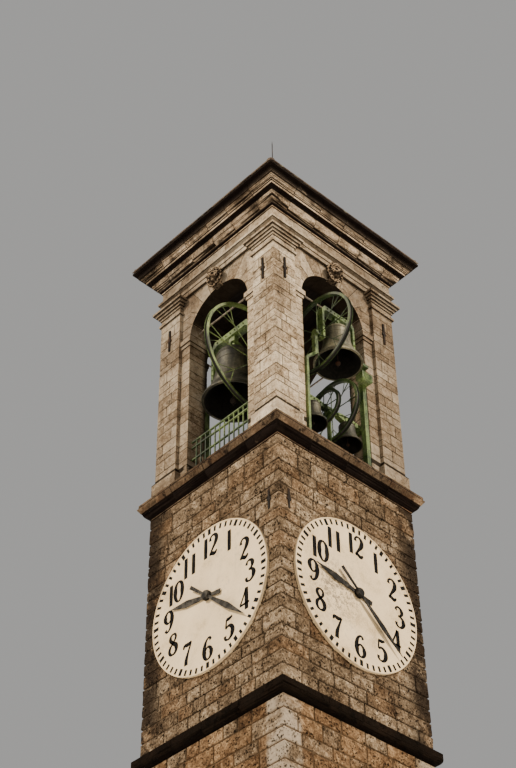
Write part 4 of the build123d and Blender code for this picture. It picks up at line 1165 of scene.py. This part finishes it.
# The profile's radius and height, in thousandths of the mouth's radius and the bell's height.
waist = (
    (3, 1000), (250, 1000), (375, 998), (455, 980), (505, 958), (528, 932), (545, 905),
    (562, 900), (566, 893), (562, 886), (551, 882), (564, 876), (569, 868), (564, 860),
    (553, 855), (553, 760), (567, 755), (570, 748), (567, 741), (557, 736), (566, 640),
    (584, 560), (604, 500), (634, 430), (664, 370), (690, 325), (706, 318), (712, 310),
    (710, 300), (706, 293), (722, 286), (728, 277), (727, 268), (745, 240), (790, 190),
    (850, 135), (878, 118), (890, 108), (904, 98), (935, 78), (975, 48), (998, 18), (998, 4),
    (985, 0), (915, 0), (895, 6), (830, 50), (740, 150), (660, 260), (600, 350), (565, 420),
    (525, 600), (490, 780), (455, 870), (400, 912), (300, 920), (3, 920)
)
for key, bell in bells.items():
    lip = bell.pivot[2] - bell.drop
    profile = [(radius / 1000 * bell.mouth, up / 1000 * bell.height) for radius, up in waist]
    shell = lathe("bell_body_" + key, profile, (*bell.pivot[:2], lip), "Z", 96)
    # painted light and shade: bell b gets the bronze painted lighter, as lit, and the others the
    # one painted darker, as in shade
    skin = lit_bronze if key == "b" else bronze
    fitted(shell, skin, "bell_" + key, f"bell_{key}_swinging")
    # soot and painted shade: the inside of each bell, below the crown, takes the near-black bronze
    shell.data.materials.append(sooted_shaded_bronze)
    for face in shell.data.polygons:
        x, y, z = face.center
        inward = face.normal.x * (bell.pivot[0] - x) + face.normal.y * (bell.pivot[1] - y)
        face.material_index = 1 if inward > 0.0 and z < lip + 0.93 * bell.height else 0

# Bell wheels: a channel rim rolled from steel, eight round spokes from a turned hub, and a
# drive chain that lies in the channel. They are painted green as the yokes are.
def aimed(obj, direction, place):
    """Turns an object's own Z along a direction and sets it at a place."""
    obj.rotation_mode = "QUATERNION"
    obj.rotation_quaternion = direction.to_track_quat("Z", "Y")
    obj.location = place
    return obj


def rod_between(start, end, radius, sides=10):
    """A round bar between two points with a small swelling at each end, where it is welded."""
    run = end - start
    bar = added("cylinder", vertices=sides, radius=radius, depth=run.length)
    edit(bar)
    for share in (-0.48, 0.48):
        all_chosen()
        ops.mesh.bisect(plane_co=(0, 0, share * run.length), plane_no=(0, 0, 1))
    chosen(bar, lambda centre, normal: abs(normal.z) > 0.9)
    ops.transform.resize(value=(1.5, 1.5, 1.0))
    all_chosen()
    ops.mesh.faces_shade_smooth()
    let_go()
    return aimed(bar, run, (start + end) / 2)


def beside(bell, along, radius=0.0, angle=0.0):
    """A point at a distance along a bell's axle from its middle, and out from it at an angle."""
    x, y, z = bell.pivot
    reach, lift = radius * math.cos(angle), radius * math.sin(angle)
    if bell.axle == "X":
        return Vector((x + along, y + reach, z + lift))
    return Vector((x + reach, y + along, z + lift))


def both_ways(half):
    """A closed profile from one half of it, mirrored along the axle."""
    return half + [(radius, -along) for radius, along in reversed(half)] + half[:1]


def steel_chain(place):
    links = place.noise(30.0, 3.0)
    body = links.blend((0.005, 0.005, 0.004), (0.026, 0.023, 0.019))
    return body, (), links * 0.3 + 0.45, links, 0.006


chain = finish_named("oiled chain", steel_chain, gloss=0.3)
hub_half = [
    (0.0335, -0.028), (0.052, -0.028), (0.056, -0.024), (0.056, -0.013), (0.078, -0.011),
    (0.082, -0.007)
]
for key, bell in bells.items():
    edge, middle, body = bell.wheel_radius, bell.wheel_offset, f"bell_{key}_swinging"
    inner, bed = edge - 0.058, edge - 0.046
    rim_half = [
        (inner, -0.036), (inner + 0.004, -0.041), (edge - 0.002, -0.041), (edge, -0.039),
        (edge, -0.034), (edge - 0.002, -0.032), (bed, -0.031)
    ]
    link_half = [
        (bed + 0.001, -0.03), (bed + 0.026, -0.03), (bed + 0.03, -0.018), (bed + 0.02, -0.014)
    ]
    rim, hub, links = (
        lathe(name, both_ways(half), beside(bell, middle), bell.axle, segments)
        for name, half, segments in (
            ("rim", rim_half, 112), ("hub", hub_half, 40), ("drive_chain_" + key, link_half, 112)
        )
    )
    spokes = []
    for step in range(8):
        angle = math.radians(45 * step)
        lean = 0.012 if step % 2 else -0.012
        tip = beside(bell, middle, inner + 0.004, angle)
        spokes.append(rod_between(beside(bell, middle + lean, 0.07, angle), tip, 0.0095))
        if edge > 0.6:
            for fork in (math.radians(-11), math.radians(11)):
                spokes.append(rod_between(
                    beside(bell, middle, inner * 0.66, angle),
                    beside(bell, middle, inner + 0.002, angle + fork), 0.0065, 8
                ))
    wheel = joined("bell_wheel_" + key, [rim, hub] + spokes)
    fitted(wheel, paint if key == "a" else dark_paint, "wheel_" + key, body)
    fitted(links, chain, None, body)

# Yokes: welded channel beams on the solids of the frame, with hexagon bolts through their
# cheeks.
for key, bell in bells.items():
    coat(paint, nodes["headstock_" + key])
    crown = bell.height - bell.drop
    cheek, arm_at = 0.11 * bell.mouth + 0.02, 0.86 * bell.mouth
    beam_top = crown + bell.yoke_rise
    if crown > 0.064:
        rises = [0.1 + step * 0.14 for step in range(int((beam_top - 0.3) / 0.14))]
        spots = [(side * arm_at, rise) for side in (-1, 1) for rise in rises]
        shares, row = (-0.72, -0.48, -0.24, 0.0, 0.24, 0.48, 0.72), beam_top - 0.11 * bell.mouth
    else:
        spots, shares, row = [], (-0.7, -0.35, 0.0, 0.35, 0.7), 0.6 * beam_top + 0.3 * crown
    spots += [(share * arm_at, row) for share in shares]
    bolts = []
    for along, rise in spots:
        for side in (-1, 1):
            bolt = added("cylinder", vertices=6, radius=0.017, depth=0.018)
            edit(bolt)
            chosen(bolt, lambda centre, normal: normal.z > 0.9)
            ops.mesh.inset(thickness=0.004, depth=0.003)
            ops.mesh.inset(thickness=0.004, depth=0.0)
            ops.mesh.extrude_region_move(TRANSFORM_OT_translate={"value": (0, 0, 0.008)})
            let_go()
            out = Vector((0, side, 0)) if bell.axle == "X" else Vector((side, 0, 0))
            place = beside(bell, along) + Vector((0, 0, rise)) + out * (cheek + 0.008)
            bolts.append(aimed(bolt, out, place))
    fitted(joined("yoke_bolts_" + key, bolts), paint, None, f"bell_{key}_swinging")

# Clappers: forged iron, an eye on the pin under the crown, a rod that tapers, a round ball
# at the height of the lip and a short flight below it.
for key, bell in bells.items():
    lip = bell.pivot[2] - bell.drop
    head, ball = 0.05 * bell.mouth + 0.006, 0.111 * bell.mouth
    pin = lip + 0.92 * bell.height - head - 0.0003
    low, centre = lip - 0.08 * bell.height - pin, lip + 0.4 * ball - pin
    rod = [
        (0.002, low), (0.3 * head, low + 0.004), (0.36 * head, low + 0.03),
        (0.42 * head, centre - 0.98 * ball)
    ]
    for step in range(-6, 7):
        angle = math.radians(step * 14)
        rod.append((max(ball * math.cos(angle), 0.43 * head), centre + ball * math.sin(angle)))
    rod += [
        (0.44 * head, centre + 1.02 * ball), (0.34 * head, 0.5 * centre),
        (0.34 * head, -0.9 * head), (0.002, -0.86 * head)
    ]
    hung_at = (*bell.pivot[:2], pin)
    shank = lathe("shank", rod, hung_at, "Z", 28)
    eye_half = [(0.35, -0.75), (0.97, -0.75), (0.995, -0.62)]
    eye_half = [(radius * head, along * head) for radius, along in eye_half]
    eye = lathe("eye", both_ways(eye_half), hung_at, bell.axle, 32)
    clapper = joined("clapper_rod_" + key, [shank, eye])
    fitted(clapper, iron, "clapper_" + key, f"clapper_{key}_swinging")

# Bell frame, motor, bearings and railing: square steel posts and bars with mitred ends,
# painted the same green, bolted to the floor through foot plates.
# painted light: the tie rods are given a light steel colour for the light that falls on them
lit_tie_steel = finish_named(
    "bare tie rod steel", grained, (20.0, 6.0, 0.7),
    ((0.38, 0.07, 0.05, 0.034), (0.62, 0.3, 0.25, 0.185)), 0.55, 0.003, metal=0.2
)
coat(paint, nodes["bearings"], nodes["frame_posts_front"], *(
    nodes["frame_post_" + post] for post in ("near", "far", "middle")
))
coat(rail_paint, nodes["railing"])
coat(lit_tie_steel, nodes["tie_rods"])
coat(iron, nodes["tie_anchors"])

motor = copied_node("motor_housing", "motor_box")
eased(0.006, 2)
motor_low, motor_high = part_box("motor_box")
for step in range(6):
    fin_place = (motor_high.x, (motor_low.y + motor_high.y) / 2, motor_low.z + 0.055 + step * 0.026)
    fin_size = (0.014, (motor_high.y - motor_low.y) * 0.72, 0.007)
    fin = added("cube", fin_place, size=1.0, scale=fin_size)
    edit(fin)
    eased(0.002)
    motor = joined("motor_housing", [motor, fin])
fitted(motor, paint, "motor_box")

# Lightning rod: a tapering steel rod, 3 m tall and black with age, that stands in a turned
# socket on the capping stone of the roof and ends in a point.
rod_low, rod_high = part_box("lightning_rod")
tall = rod_high.z - rod_low.z
rod_profile = [
    (0.06, 0.0), (0.062, 0.03), (0.04, 0.045), (0.036, 0.16), (0.044, 0.17), (0.044, 0.19),
    (0.016, 0.2), (0.0135, 0.9), (0.018, 0.905), (0.018, 0.925), (0.0125, 0.93),
    (0.0095, tall - 0.1), (0.0025, tall)
]
spire = lathe("lightning_spire", rod_profile, (0, 0, rod_low.z), "Z", 20)
fitted(spire, iron, "lightning_rod")

# Belfry floor and ceiling: square limestone flags with open joints on the floor, and old sooted
# boards, a hand and a half wide each, nailed up under the roof, painted near-black for their soot
# and for the shade under the roof.
flags = copied_node("floor_flags", "belfry_floor")
for side in (0, 1):
    scored(flags, 1.1, 0.44, 0.01, 0.008, (side,), 0.05)
fitted(flags, ashlar, "belfry_floor")

ceiling = copied_node("ceiling_boards", "belfry_ceiling")
scored(ceiling, 1.175, 0.2, 0.01, 0.01, (1,), 0.0)
# soot and painted shade: the boards are near-black
timber = finish_named(
    "old boards", grained, (5.0, 8.0, 0.7, (0.35, 9.0, 1.0)),
    ((0.3, 0.002, 0.001, 0.001), (0.5, 0.009, 0.006, 0.004), (0.7, 0.03, 0.02, 0.012)),
    0.7, 0.006, gloss=0.2
)
fitted(ceiling, timber, "belfry_ceiling")

# Door: oak planks behind two iron straps, with clenched nails and a drop ring, closed in
# its recess in the foot of the front wall.
leaf = copied_node("door_planks", "door_leaf")
scored(leaf, 0.442, 0.147, 0.008, 0.007, (0,), 0.0)
oak = finish_named(
    "weathered oak", grained, (4.0, 8.0, 0.7, (9.0, 9.0, 0.35)),
    ((0.3, 0.026, 0.016, 0.01), (0.5, 0.075, 0.048, 0.029), (0.7, 0.17, 0.118, 0.074)),
    0.66, 0.006, lambda place: place.read("joint").rise(0.1, 0.75) * 0.92,
    (0.006, 0.004, 0.003), gloss=0.3
)
fitted(leaf, oak, "door_leaf")
door_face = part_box("door_leaf")[0].y
ironwork = []
for height in (0.62, 1.82):
    strap = added("cube", (-0.06, door_face - 0.004, height), size=1.0, scale=(0.74, 0.01, 0.055))
    edit(strap)
    chosen(strap, lambda centre, normal: normal.x > 0.9)
    ops.mesh.extrude_region_move(TRANSFORM_OT_translate={"value": (0.09, 0, 0)})
    ops.transform.resize(value=(1.0, 1.0, 0.15))
    eased(0.002)
    ironwork.append(strap)
    for step in range(5):
        nail_at = (-0.38 + step * 0.16, door_face - 0.009, height)
        ironwork.append(added("uv_sphere", nail_at, segments=10, ring_count=6, radius=0.014))
ironwork.append(added(
    "torus", (0.33, door_face - 0.014, 1.18), major_segments=32, minor_segments=8,
    major_radius=0.055, minor_radius=0.008, rotation=(math.radians(82), 0, 0)
))
boss_at = (0.33, door_face - 0.006, 1.235)
ironwork.append(added("uv_sphere", boss_at, segments=14, ring_count=8, radius=0.024))
fitted(joined("door_ironwork", ironwork), iron)
